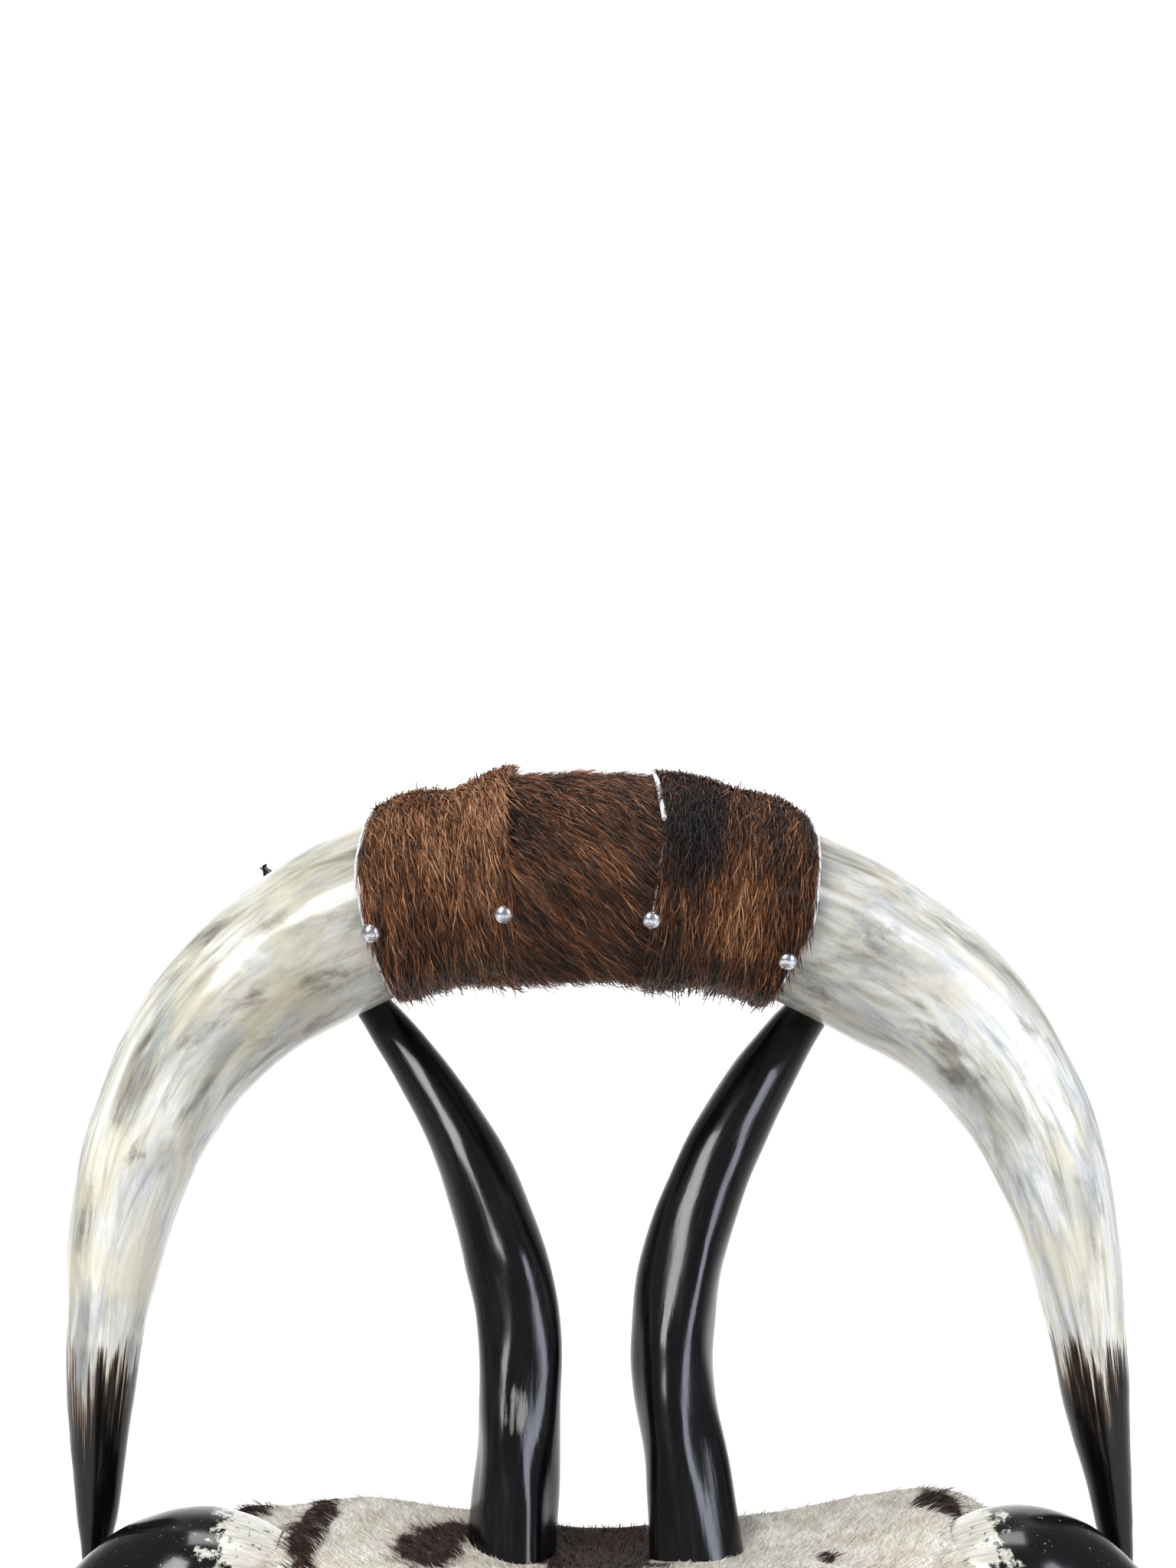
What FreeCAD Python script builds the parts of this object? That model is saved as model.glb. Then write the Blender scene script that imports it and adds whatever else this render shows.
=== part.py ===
"""A horn chair: four horn legs, an upholstered hide seat, two black horn splats and a back arch of two pale horns.

Millimetres, +Z up, the front of the chair faces -Y. The origin is on the floor, under the middle of the
chair's box. Every piece is its own closed solid.

How it goes together: each horn is hollow at its base and takes a turned wooden plug. One long core joins the
bases of the two arch horns, and three strips of hair-on hide over felt padding cover that joint, held by
domed nails. The arch's tips are screwed to the backs of the rear legs' knees. The splats stand on the seat
board, bolted from below through their plugs, and their tips are screwed to the back of the arch. Each leg is
let into a notch in the seat's side and bolted through the side rail into its plug.
"""

import FreeCAD
import Part
import math
import os

V = FreeCAD.Vector

# The seat, from the rails up.
RAIL_BOTTOM_Z = 374.0
RAIL_HEIGHT = 55.0
RAIL_THICK = 22.0
RAIL_HALF_WIDTH = 230.0
RAIL_HALF_DEPTH = 200.0
BOARD_THICK = 15.0
SEAT_HALF_FRONT = 280.0
SEAT_HALF_REAR = 290.0
SEAT_HALF_DEPTH = 232.0
SEAT_CORNER_R = 64.0
PAD_EDGE_THICK = 20.0
PAD_CROWN = 18.0
PAD_EDGE_R = 13.0
HIDE_THICK = 3.0
HIDE_RETURN = 26.0
GLUE_BLOCK_REACH = 30.0

# The horns. RATIO is an oval section's depth over its height.
ARCH_RATIO = 0.96
SPLAT_RATIO = 0.9
LEG_RATIO = 0.97
ARCH_WALL = 8.0
SPLAT_WALL = 8.0
LEG_WALL = 9.0
WALL_GROWTH = 4.0
GLUE_GAP = 0.3
LEG_PLUG_LENGTH = 70.0
SPLAT_PLUG_LENGTH = 56.0
FRONT_RAKE = 1.1
REAR_RAKE = 1.8
FOOT_PAD_R = 13.0
FOOT_PAD_THICK = 5.0

# The hide joint at the top of the arch.
ARCH_MID_X = -14.0
WRAP_LEFT_X = -189.0
WRAP_RIGHT_X = 163.0
SEAM_LEFT_X = -80.0
SEAM_RIGHT_X = 45.0
SEAM_OVERLAP = 12.0

# Fasteners.
NAIL_R = 7.0
NAIL_RISE = 5.0
NAIL_SHANK_R = 1.0
NAIL_SHANK = 15.0
NAIL_LIFT = 0.9
BOLT_R = 4.0
BOLT_HEAD_R = 7.5
BOLT_HEAD_H = 5.5
WASHER_R = 9.5
WASHER_THICK = 1.6
SCREW_R = 2.2
SCREW_HEAD_R = 4.4
SCREW_HEAD_H = 3.0
HOLE_GAP = 0.15
LEG_BOLT_Z = 418.5
LEG_BOLT_ALONG = (103.0, 133.0)
LEG_BOLT_LENGTH = 76.0

# Heights that follow, and the shift that puts the origin under the middle of the box.
BOARD_Z = RAIL_BOTTOM_Z + RAIL_HEIGHT
PAD_Z = BOARD_Z + BOARD_THICK
CENTRE_Y = -61.5

# Horn centrelines from base to tip: (x, y, z, radius).
LEFT_ARCH = [
    (-44, 238, 940, 69), (-114, 248, 931, 68.5), (-175, 256, 914, 67), (-241, 257, 879, 64),
    (-300, 247, 829, 56), (-339, 234, 769, 48), (-362, 222, 702, 40), (-374, 212, 625, 31),
    (-378, 203, 545, 23.5), (-378, 195, 465, 14), (-378, 187, 408, 5),
]
RIGHT_ARCH = [
    (16, 238, 940, 69), (86, 248, 928, 68.5), (145, 256, 910, 67), (204, 258, 880, 65),
    (268, 248, 835, 57.5), (313, 234, 776, 48.5), (341, 222, 706, 40.5), (356, 212, 625, 31),
    (366, 203, 545, 23), (376, 195, 465, 14), (380, 187, 408, 5),
]
LEFT_SPLAT = [
    (-71, 146, 400, 34), (-68, 179, 487, 31.5), (-66, 202, 546, 30.8), (-67, 226, 607, 31.5),
    (-80, 246, 657, 31), (-116, 277, 736, 25.2), (-177, 311, 819, 16.6), (-228, 332, 876, 10),
    (-283, 354, 936, 3.2),
]
RIGHT_SPLAT = [
    (67, 146, 400, 35), (59, 183, 498, 31), (50, 206, 562, 30.6), (54, 232, 622, 31.7),
    (77, 261, 696, 30), (115, 290, 763, 26.3), (163, 318, 826, 18), (204, 332, 868, 10.5),
    (236, 343, 896, 4),
]
# A leg's centreline: (distance out, distance along to the rear or front, height, radius).
LEG = [
    (226, 125, 447, 50), (272, 125, 452, 52), (308, 127, 446, 51), (340, 130, 426, 48.5),
    (368, 134, 393, 45.5), (388, 140, 348, 42), (401, 150, 285, 37), (404, 164, 215, 31.5),
    (400, 180, 145, 25.5), (393, 196, 75, 20), (386, 211, 0, 15.5),
]

# Domed nails on the front of the wrap: (x, degrees below level, radius of the hide there).
WRAP_NAILS = [(-181, 11, 70.8), (-80, 18, 79.3), (34, 21, 79.3), (140, 29, 72.2)]
CORE_SCREW_X = (-128, -70, 42, 100)

SIDES = {"left": -1, "right": 1}
ENDS = {"front": -1, "rear": 1}
CORNERS = [(side, end) for side in SIDES.values() for end in ENDS.values()]
FRONT = V(0, -1, 0)


# Shapes that several pieces share.

def unit(v):
    return v * (1.0 / v.Length)


def spline(points):
    """A smooth curve through the points, in their order."""
    curve = Part.BSplineCurve()
    curve.interpolate([V(*p[:3]) for p in points])
    return curve


def section(centre, tangent, radius, ratio):
    """An oval across the tangent. Its long way lies in the plane that faces the front."""
    side = unit(tangent.cross(FRONT))
    deep = unit(side.cross(tangent))
    return Part.Wire([Part.Ellipse(centre + side * radius, centre + deep * (radius * ratio), centre).toShape()])


def tapered(points, ratio, grow=0.0):
    """A horn's outer shape: ovals along a smooth centreline, each larger by grow."""
    curve = spline(points)
    rings = []
    for p in points:
        centre = V(*p[:3])
        tangent = curve.tangent(curve.parameter(centre))[0]
        rings.append(section(centre, tangent, p[3] + grow, ratio))
    return Part.makeLoft(rings, True, False)


def cavity(points, ratio, wall, grow=0.0):
    """A horn's inside: its wall gets thicker by the same step at each section."""
    inner = [(x, y, z, r - wall - WALL_GROWTH * k) for k, (x, y, z, r) in enumerate(points)]
    return tapered(inner, ratio, grow)


def cylinder(start, end, radius):
    axis = end - start
    return Part.makeCylinder(radius, axis.Length, start, axis)


def box_between(low, high):
    """A box from any two opposite corners."""
    start = V(*[min(a, b) for a, b in zip(low, high)])
    size = [abs(a - b) for a, b in zip(low, high)]
    return Part.makeBox(*size, start)


def largest(shape):
    return max(shape.Solids, key=lambda solid: solid.Volume)


def prism(corners, height):
    return Part.Face(Part.makePolygon(corners + corners[:1])).extrude(V(0, 0, height))


def at_height(points, z):
    """The point and direction of a rising centreline at a height, found by halving."""
    curve = spline(points)
    low, high = curve.FirstParameter, curve.LastParameter
    for _ in range(50):
        middle = (low + high) / 2
        if curve.value(middle).z < z:
            low = middle
        else:
            high = middle
    return curve.value(low), curve.tangent(low)[0]


# Fasteners. A line is (start, end, shank radius), and its head is at the start.

def drilled(shape, lines, counterbore=0.0):
    """The shape with a hole on each line, which also clears the way in behind the head."""
    for start, end, radius in lines:
        axis = unit(end - start)
        shape = shape.cut(cylinder(start, end + axis * HOLE_GAP, radius + HOLE_GAP))
        if counterbore:
            shape = shape.cut(cylinder(start - axis * 30, start + axis * SCREW_HEAD_H, counterbore))
    return largest(shape)


def screw(line):
    """A wood screw with a countersunk head."""
    start, end, radius = line
    head = Part.makeCone(SCREW_HEAD_R, radius, SCREW_HEAD_H, start, end - start)
    return cylinder(start, end, radius).fuse(head).removeSplitter()


def bolt(line):
    """A lag bolt with a hexagon head, standing on a washer."""
    start, end, radius = line
    axis = unit(end - start)
    across = unit(axis.cross(V(0.3, 0.1, 0.95)))
    other = axis.cross(across)
    face = start - axis * WASHER_THICK
    turns = [math.radians(60 * k) for k in range(6)]
    corners = [face + across * (BOLT_HEAD_R * math.cos(t)) + other * (BOLT_HEAD_R * math.sin(t)) for t in turns]
    head = Part.Face(Part.makePolygon(corners + corners[:1])).extrude(axis * -BOLT_HEAD_H)
    return cylinder(face, end, radius).fuse(head).removeSplitter()


def washer(line):
    start, end, radius = line
    axis = unit(end - start)
    ring = cylinder(start - axis * WASHER_THICK, start, WASHER_R)
    return ring.cut(cylinder(start - axis * 5, start + axis * 5, radius + HOLE_GAP))


def dome_nail(foot, outward):
    """An upholstery nail: a cap of a ball with a thin shank."""
    ball_r = (NAIL_R ** 2 + NAIL_RISE ** 2) / (2 * NAIL_RISE)
    sunk = ball_r - NAIL_RISE
    latitude = math.degrees(math.asin(sunk / ball_r))
    cap = Part.makeSphere(ball_r, foot - outward * sunk, outward, latitude, 90, 360)
    return cap.fuse(cylinder(foot - outward * NAIL_SHANK, foot + outward, NAIL_SHANK_R)).removeSplitter()


def crossing_screw(thin, place, radius, thick, thick_radius, depth):
    """From behind, through a thin horn at the given place and into the thick horn that it crosses."""
    centre = V(*place)
    thick_curve = spline(thick)
    target = thick_curve.value(thick_curve.parameter(centre))
    axis = unit(target - centre)
    reach = (target - centre).Length - thick_radius + depth
    return centre - axis * (radius * thin), centre + axis * reach, SCREW_R


# The arch's middle: the core, the padding and the hide strips run along one axis through both horn bases.

ARCH_AXIS = list(reversed(LEFT_ARCH[:5])) + [(ARCH_MID_X, 236, 941.5)] + RIGHT_ARCH[:5]


def on_arch(x):
    """The axis's point and tangent at an x near the middle, found by halving."""
    curve = spline(ARCH_AXIS)
    low, high = curve.FirstParameter, curve.LastParameter
    for _ in range(50):
        middle = (low + high) / 2
        if curve.value(middle).x < x:
            low = middle
        else:
            high = middle
    return curve.value(low), curve.tangent(low)[0]


def sleeve(stations, grow=0.0):
    """A solid round the arch's axis through (x, radius) stations."""
    rings = []
    for x, radius in stations:
        point, tangent = on_arch(x)
        rings.append(section(point, tangent, radius + grow, ARCH_RATIO))
    return Part.makeLoft(rings, True, False)


CORE = [(ARCH_MID_X + reach, radius) for reach, radius in
        [(-136, 55), (-90, 58.5), (-45, 60.2), (0, 60.6), (45, 60.2), (90, 58.5), (136, 55)]]
FELT = [(WRAP_LEFT_X + 22, 69.3), (-125, 71.4), (SEAM_LEFT_X, 72.6), (ARCH_MID_X, 72.8), (SEAM_RIGHT_X, 72.6),
        (98, 71.4), (WRAP_RIGHT_X - 22, 69.3)]


def core_screw_lines():
    """Through each horn's base into the core, on top, where the hide covers the heads."""
    lines = []
    for x in CORE_SCREW_X:
        point, tangent = on_arch(x)
        up = unit(V(0, 0, 1) - tangent * tangent.z)
        lines.append((point + up * 66.5, point + up * 34, SCREW_R))
    return lines


def clear_of_arch(shape):
    """The shape less both arch horns' outsides."""
    for points in (LEFT_ARCH, RIGHT_ARCH):
        shape = shape.cut(tapered(points, ARCH_RATIO, HOLE_GAP))
    return largest(shape)


def wrap_padding():
    """Felt under the hide. It also fills the gap between the horns' bases, down to the core."""
    return drilled(clear_of_arch(sleeve(FELT).cut(sleeve(CORE, GLUE_GAP))), wrap_nail_lines(-1) + wrap_nail_lines(1))


def side_wrap(x_end, x_seam):
    """A side strip of hide, from the arch's horn to just under the centre strip."""
    sign = 1 if x_seam > x_end else -1
    far = x_seam + sign * SEAM_OVERLAP
    step = (far - x_end) / 3.0
    outer = [(x_end, 70.6), (x_end + step, 72.8), (x_end + 2 * step, 75.0), (far, 75.8)]
    bore = [(x_end - sign * 4, 70.6)] + outer[1:3] + [(far + sign * 4, 75.8)]
    return clear_of_arch(sleeve(outer).cut(sleeve(bore, -HIDE_THICK)))


def centre_wrap():
    """The centre strip, over the ends of the side strips."""
    outer = [(SEAM_LEFT_X, 79.4), (ARCH_MID_X, 79.6), (SEAM_RIGHT_X, 79.4)]
    bore = [(SEAM_LEFT_X - 4, 79.4), (ARCH_MID_X, 79.6), (SEAM_RIGHT_X + 4, 79.4)]
    return largest(sleeve(outer).cut(sleeve(bore, -HIDE_THICK)))


def wrap_nail_line(x, below, radius, facing):
    """A nail's foot on the hide, and the shank's end."""
    point, _ = on_arch(x)
    angle = math.radians(below)
    outward = V(0, facing * math.cos(angle), -math.sin(angle))
    reach = radius * math.hypot(ARCH_RATIO * math.cos(angle), math.sin(angle))
    foot = point + outward * (reach + NAIL_LIFT)
    return foot, foot - outward * NAIL_SHANK, NAIL_SHANK_R


def wrap_nail_lines(facing):
    return [wrap_nail_line(x, below, radius, facing) for x, below, radius in WRAP_NAILS]


# Horns.

def arch_horn(points, fixings):
    """A pale horn sheath round the core, hollow beyond it, with a blunt solid tip."""
    horn = tapered(points, ARCH_RATIO).cut(sleeve(CORE, GLUE_GAP))
    horn = largest(horn.cut(cavity(points[2:7], ARCH_RATIO, ARCH_WALL)))
    return drilled(horn, fixings)


def splat_horn(points, screw_line):
    """A black horn that stands on the board, hollow at its base."""
    horn = tapered(points, SPLAT_RATIO).cut(cavity(points[:4], SPLAT_RATIO, SPLAT_WALL))
    below = box_between((-300, 0, 300), (300, 400, PAD_Z))
    return drilled(largest(horn.cut(below)), [screw_line], SCREW_HEAD_R + HOLE_GAP)


def splat_plug(points, bolt_line):
    """A turned plug in a splat's base, flush with the board."""
    plug = cavity(points[:4], SPLAT_RATIO, SPLAT_WALL, -GLUE_GAP)
    plug = plug.common(box_between((-300, 0, PAD_Z), (300, 400, PAD_Z + SPLAT_PLUG_LENGTH)))
    return drilled(largest(plug), [bolt_line])


def leg_points(side, end):
    """A leg's sections. The rear legs reach further back than the front legs reach forward."""
    rake = REAR_RAKE if end > 0 else FRONT_RAKE
    base = LEG[0][1]
    return [(side * out, end * (base + rake * (along - base)), z, r) for out, along, z, r in LEG]


def leg_zone(side, reach):
    """The space outside a side rail, out to a distance from the rail."""
    near = side * RAIL_HALF_WIDTH
    return box_between((near, -500, -10), (near + side * reach, 500, 700))


def leg_horn(side, end, fixings):
    points = leg_points(side, end)
    horn = tapered(points, LEG_RATIO).cut(cavity(points[:7], LEG_RATIO, LEG_WALL))
    horn = horn.common(leg_zone(side, 400))
    horn = largest(horn.cut(box_between((-600, -500, -60), (600, 500, FOOT_PAD_THICK))))
    return drilled(horn, fixings)


def leg_plug(side, end):
    """A turned plug that fills the first stretch of a leg's hollow, flush with the rail."""
    plug = cavity(leg_points(side, end)[:7], LEG_RATIO, LEG_WALL, -GLUE_GAP)
    plug = largest(plug.common(leg_zone(side, LEG_PLUG_LENGTH)))
    return drilled(plug, leg_bolt_lines())


def foot_pad(side, end):
    """A round felt pad under a leg's tip."""
    x, y = leg_points(side, end)[-1][:2]
    return Part.makeCylinder(FOOT_PAD_R, FOOT_PAD_THICK, V(x, y, 0))


# Seat.

def seat_prism(inset, low, high):
    """The seat's outline, smaller all round by inset, as a prism with rounded corners."""
    depth = SEAT_HALF_DEPTH - inset
    front, rear = SEAT_HALF_FRONT - inset, SEAT_HALF_REAR - inset
    outline = prism([V(-front, -depth, low), V(front, -depth, low), V(rear, depth, low), V(-rear, depth, low)],
                    high - low)
    upright = [e for e in outline.Edges if abs(e.tangentAt(e.FirstParameter).z) > 0.99]
    return outline.makeFillet(SEAT_CORNER_R - inset, upright)


def crowned(inset, low, lift):
    """The seat's outline up to a crown that is highest in the middle, with its top edge rounded."""
    ball_r = (SEAT_HALF_REAR ** 2 + PAD_CROWN ** 2) / (2 * PAD_CROWN)
    top = PAD_Z + PAD_EDGE_THICK + PAD_CROWN + lift
    ball = Part.makeSphere(ball_r, V(0, 0, top - ball_r))
    body = seat_prism(inset, low, top + 10).common(ball)
    rim = [e for e in body.Edges if e.BoundBox.ZMin > PAD_Z + 2]
    return body.makeFillet(PAD_EDGE_R + lift, rim)


def notched(shape, gap=0.5):
    """The shape cut away round the legs' bases and the splats."""
    for side, end in CORNERS:
        shape = shape.cut(tapered(leg_points(side, end), LEG_RATIO, gap))
    above_board = box_between((-300, 0, PAD_Z), (300, 400, 700))
    for points in (LEFT_SPLAT, RIGHT_SPLAT):
        shape = shape.cut(tapered(points, SPLAT_RATIO, gap).common(above_board))
    return largest(shape)


def seat_board():
    board = notched(seat_prism(HIDE_THICK + 0.5, BOARD_Z, PAD_Z))
    board = drilled(board, splat_bolt_lines() + tack_lines())
    return drilled(board, board_screw_lines(), SCREW_HEAD_R + HOLE_GAP)


def seat_pad():
    """The foam: flat below, crowned above."""
    return notched(crowned(HIDE_THICK, PAD_Z, 0.0))


def seat_hide():
    """The cover: over the pad, down past the board's edge and a little way back under it."""
    low = BOARD_Z - HIDE_THICK
    hide = crowned(0.0, low, HIDE_THICK).cut(crowned(HIDE_THICK, BOARD_Z, 0.0))
    hide = notched(hide.cut(seat_prism(HIDE_RETURN, low - 1, BOARD_Z + 1)))
    return drilled(hide, tack_lines())


def side_rail(side):
    near, far = side * (RAIL_HALF_WIDTH - RAIL_THICK), side * RAIL_HALF_WIDTH
    rail = box_between((near, -RAIL_HALF_DEPTH, RAIL_BOTTOM_Z), (far, RAIL_HALF_DEPTH, BOARD_Z))
    rail = drilled(rail, leg_bolt_lines() + board_screw_lines())
    return drilled(rail, rail_screw_lines(), SCREW_HEAD_R + HOLE_GAP)


def cross_rail(end):
    """The front or rear rail, held between the side rails."""
    half = RAIL_HALF_WIDTH - RAIL_THICK
    near, far = end * (RAIL_HALF_DEPTH - RAIL_THICK), end * RAIL_HALF_DEPTH
    rail = box_between((-half, near, RAIL_BOTTOM_Z), (half, far, BOARD_Z))
    return drilled(rail, rail_screw_lines() + board_screw_lines())


def glue_block(side, end):
    """A triangular block in a corner of the rails."""
    x = side * (RAIL_HALF_WIDTH - RAIL_THICK)
    y = end * (RAIL_HALF_DEPTH - RAIL_THICK)
    low = RAIL_BOTTOM_Z + 5
    corners = [V(x, y, low), V(x - side * GLUE_BLOCK_REACH, y, low), V(x, y - end * GLUE_BLOCK_REACH, low)]
    return prism(corners, RAIL_HEIGHT - 5)


def dust_cover():
    """The cloth under the rails."""
    half_x, half_y = RAIL_HALF_WIDTH - 5, RAIL_HALF_DEPTH - 5
    return box_between((-half_x, -half_y, RAIL_BOTTOM_Z - 1.2), (half_x, half_y, RAIL_BOTTOM_Z))


def leg_bolt_lines():
    """Two bolts a leg, from inside the side rail into the plug."""
    lines = []
    for side, end in CORNERS:
        for along in LEG_BOLT_ALONG:
            start = V(side * (RAIL_HALF_WIDTH - RAIL_THICK), end * along, LEG_BOLT_Z)
            lines.append((start, start + V(side * LEG_BOLT_LENGTH, 0, 0), BOLT_R))
    return lines


def splat_bolt_lines():
    """Up through the board into each splat's plug, upright."""
    lines = []
    for points in (LEFT_SPLAT, RIGHT_SPLAT):
        foot, _ = at_height(points, PAD_Z)
        start = V(foot.x, foot.y + 3, BOARD_Z)
        lines.append((start, start + V(0, 0, BOARD_THICK + 42), BOLT_R))
    return lines


def rail_screw_lines():
    """Through the side rails into the cross rails' ends."""
    lines = []
    for side, end in CORNERS:
        for up in (14, 40):
            start = V(side * RAIL_HALF_WIDTH, end * (RAIL_HALF_DEPTH - RAIL_THICK / 2), RAIL_BOTTOM_Z + up)
            lines.append((start, start - V(side * 55, 0, 0), SCREW_R))
    return lines


def board_screw_lines():
    """Down through the board into the rails."""
    side_x = RAIL_HALF_WIDTH - RAIL_THICK / 2
    end_y = RAIL_HALF_DEPTH - RAIL_THICK / 2
    places = [(side * side_x, y) for side in SIDES.values() for y in (-45, 45)]
    places += [(x, end * end_y) for end in ENDS.values() for x in (-150, 150)]
    return [(V(x, y, PAD_Z), V(x, y, PAD_Z - 38), SCREW_R) for x, y in places]


def tack_lines():
    """Small flat tacks through the hide's return into the board's underside."""
    low = BOARD_Z - HIDE_THICK
    edge_y = SEAT_HALF_DEPTH - 15
    edge_x = (SEAT_HALF_FRONT + SEAT_HALF_REAR) / 2 - 15
    places = [(x, end * edge_y) for end in ENDS.values() for x in range(-180, 181, 40)]
    places += [(side * edge_x, y) for side in SIDES.values() for y in (-40, 0, 40)]
    return [(V(x, y, low), V(x, y, low + 9), 0.9) for x, y in places]


def tack(line):
    start, end, radius = line
    return cylinder(start - V(0, 0, 1.2), start, 4.5).fuse(cylinder(start, end, radius)).removeSplitter()


def export(name, *solids):
    """Writes one node, moved so that the origin is under the middle of the chair's box."""
    shape = solids[0] if len(solids) == 1 else Part.makeCompound(list(solids))
    shape = shape.copy()
    shape.translate(V(0, CENTRE_Y, 0))
    volume = sum(solid.Volume for solid in shape.Solids) / 1000
    print(f"{name:22s} solids {len(shape.Solids):2d}, valid {shape.isValid()}, {volume:8.1f} cm3")
    shape.exportStep(f"parts/{name}.step")


def main():
    os.makedirs("parts", exist_ok=True)
    arches = {"left": LEFT_ARCH, "right": RIGHT_ARCH}
    splats = {"left": LEFT_SPLAT, "right": RIGHT_SPLAT}
    nails = {"front": wrap_nail_lines(-1), "rear": wrap_nail_lines(1)}
    tip_screws = {side: crossing_screw(0.97, (sign * 378, 194, 455), 13, leg_points(sign, 1), 47.5, 16)
                  for side, sign in SIDES.items()}
    splat_screws = {side: crossing_screw(0.88, splats[side][7][:3], splats[side][7][3], arches[side], 61, 14)
                    for side in SIDES}

    for side in SIDES:
        fixings = nails["front"] + nails["rear"] + [tip_screws[side], splat_screws[side]]
        arch = drilled(arch_horn(arches[side], fixings), core_screw_lines(), SCREW_HEAD_R + HOLE_GAP)
        export(f"{side}_arch_horn", drilled(arch, [tip_screws[side]], SCREW_HEAD_R + HOLE_GAP))
        export(f"{side}_splat_horn", splat_horn(splats[side], splat_screws[side]))
    export("arch_core", drilled(sleeve(CORE), core_screw_lines()))
    export("core_screws", *[screw(line) for line in core_screw_lines()])
    all_nails = nails["front"] + nails["rear"]
    export("wrap_padding", wrap_padding())
    export("left_hide_wrap", drilled(side_wrap(WRAP_LEFT_X, SEAM_LEFT_X), all_nails))
    export("centre_hide_wrap", drilled(centre_wrap(), all_nails))
    export("right_hide_wrap", drilled(side_wrap(WRAP_RIGHT_X, SEAM_RIGHT_X), all_nails))
    for end, lines in nails.items():
        export(f"wrap_nails_{end}", *[dome_nail(foot, unit(foot - tip)) for foot, tip, _ in lines])
    export("arch_tip_screws", *[screw(line) for line in tip_screws.values()])
    export("splat_tip_screws", *[screw(line) for line in splat_screws.values()])
    export("splat_plugs", *[splat_plug(splats[side], line) for side, line in zip(SIDES, splat_bolt_lines())])
    export("splat_bolts", *[bolt(line) for line in splat_bolt_lines()])
    export("splat_washers", *[washer(line) for line in splat_bolt_lines()])

    for end, e in ENDS.items():
        for side, s in SIDES.items():
            fixings = leg_bolt_lines() + ([tip_screws[side]] if end == "rear" else [])
            export(f"{end}_{side}_leg_horn", leg_horn(s, e, fixings))
    export("leg_plugs", *[leg_plug(side, end) for side, end in CORNERS])
    export("leg_bolts", *[bolt(line) for line in leg_bolt_lines()])
    export("leg_washers", *[washer(line) for line in leg_bolt_lines()])
    export("foot_pads", *[foot_pad(side, end) for side, end in CORNERS])

    export("seat_board", seat_board())
    export("board_screws", *[screw(line) for line in board_screw_lines()])
    export("seat_pad", seat_pad())
    export("seat_hide", seat_hide())
    export("hide_tacks", *[tack(line) for line in tack_lines()])
    for side, s in SIDES.items():
        export(f"{side}_rail", side_rail(s))
    for end, e in ENDS.items():
        export(f"{end}_rail", cross_rail(e))
    export("rail_screws", *[screw(line) for line in rail_screw_lines()])
    export("corner_blocks", *[glue_block(side, end) for side, end in CORNERS])
    export("dust_cover", dust_cover())


main()
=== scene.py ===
import math

import bpy
import numpy as np
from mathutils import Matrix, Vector, noise


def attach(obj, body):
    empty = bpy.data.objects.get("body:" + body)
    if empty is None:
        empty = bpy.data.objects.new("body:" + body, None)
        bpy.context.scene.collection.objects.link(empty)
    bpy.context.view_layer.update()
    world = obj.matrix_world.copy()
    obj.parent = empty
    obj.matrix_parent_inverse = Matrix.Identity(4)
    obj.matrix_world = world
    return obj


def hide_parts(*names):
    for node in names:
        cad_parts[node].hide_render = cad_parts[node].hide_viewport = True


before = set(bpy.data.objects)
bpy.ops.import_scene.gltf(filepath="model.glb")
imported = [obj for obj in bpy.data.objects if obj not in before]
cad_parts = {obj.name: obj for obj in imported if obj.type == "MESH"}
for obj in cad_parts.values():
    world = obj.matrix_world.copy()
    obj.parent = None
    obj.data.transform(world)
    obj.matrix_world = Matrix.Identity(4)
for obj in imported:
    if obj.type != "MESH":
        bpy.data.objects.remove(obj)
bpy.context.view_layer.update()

# Millimetres in the tables below, metres in the scene. The tables share the CAD's own origin in Y.
MM = 0.001
SHIFT_Y = -61.5
MID_X = -14.0
SEAT_TOP_Z = 482.0
BOARD_Z = 429.0
PAD_Z = 444.0
HIDE_THICK = 3.0
HORN_WALL = 8.0
LEG_WALL = 9.0
RAIL_X = 230.2
FOOT_Z = 5.0
CAMERA_Y = -1110.0
CAMERA_Z = 1012.0
LENS = 40.43
rng = np.random.default_rng(20)

# Horn centrelines from base to tip: (x, y, z, radius).
LEFT_ARCH = [
    (-44, 238, 940, 69), (-114, 248, 931, 68.5), (-175, 256, 914, 67), (-241, 257, 879, 64),
    (-300, 247, 829, 56), (-339, 234, 769, 48), (-362, 222, 702, 40), (-374, 212, 625, 31),
    (-378, 203, 545, 23.5), (-378, 195, 465, 14), (-378, 187, 412, 6), (-378, 186.5, 408, 2),
]
RIGHT_ARCH = [
    (16, 238, 940, 69), (86, 248, 928, 68.5), (145, 256, 910, 67), (204, 258, 880, 65),
    (268, 248, 835, 57.5), (313, 234, 776, 48.5), (341, 222, 706, 40.5), (356, 212, 625, 31),
    (366, 203, 545, 23), (376, 195, 465, 14), (380, 187, 412, 6), (380, 186.5, 408, 2),
]
LEFT_SPLAT = [
    (-71, 146, 400, 34), (-68, 179, 487, 31.5), (-66, 202, 546, 30.8), (-67, 226, 607, 31.5),
    (-80, 246, 657, 31), (-116, 277, 736, 25.2), (-177, 311, 819, 16.6), (-228, 332, 876, 10),
    (-256, 343, 909, 7), (-280, 352, 938, 4.2), (-283, 353.5, 942, 2.2),
]
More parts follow.
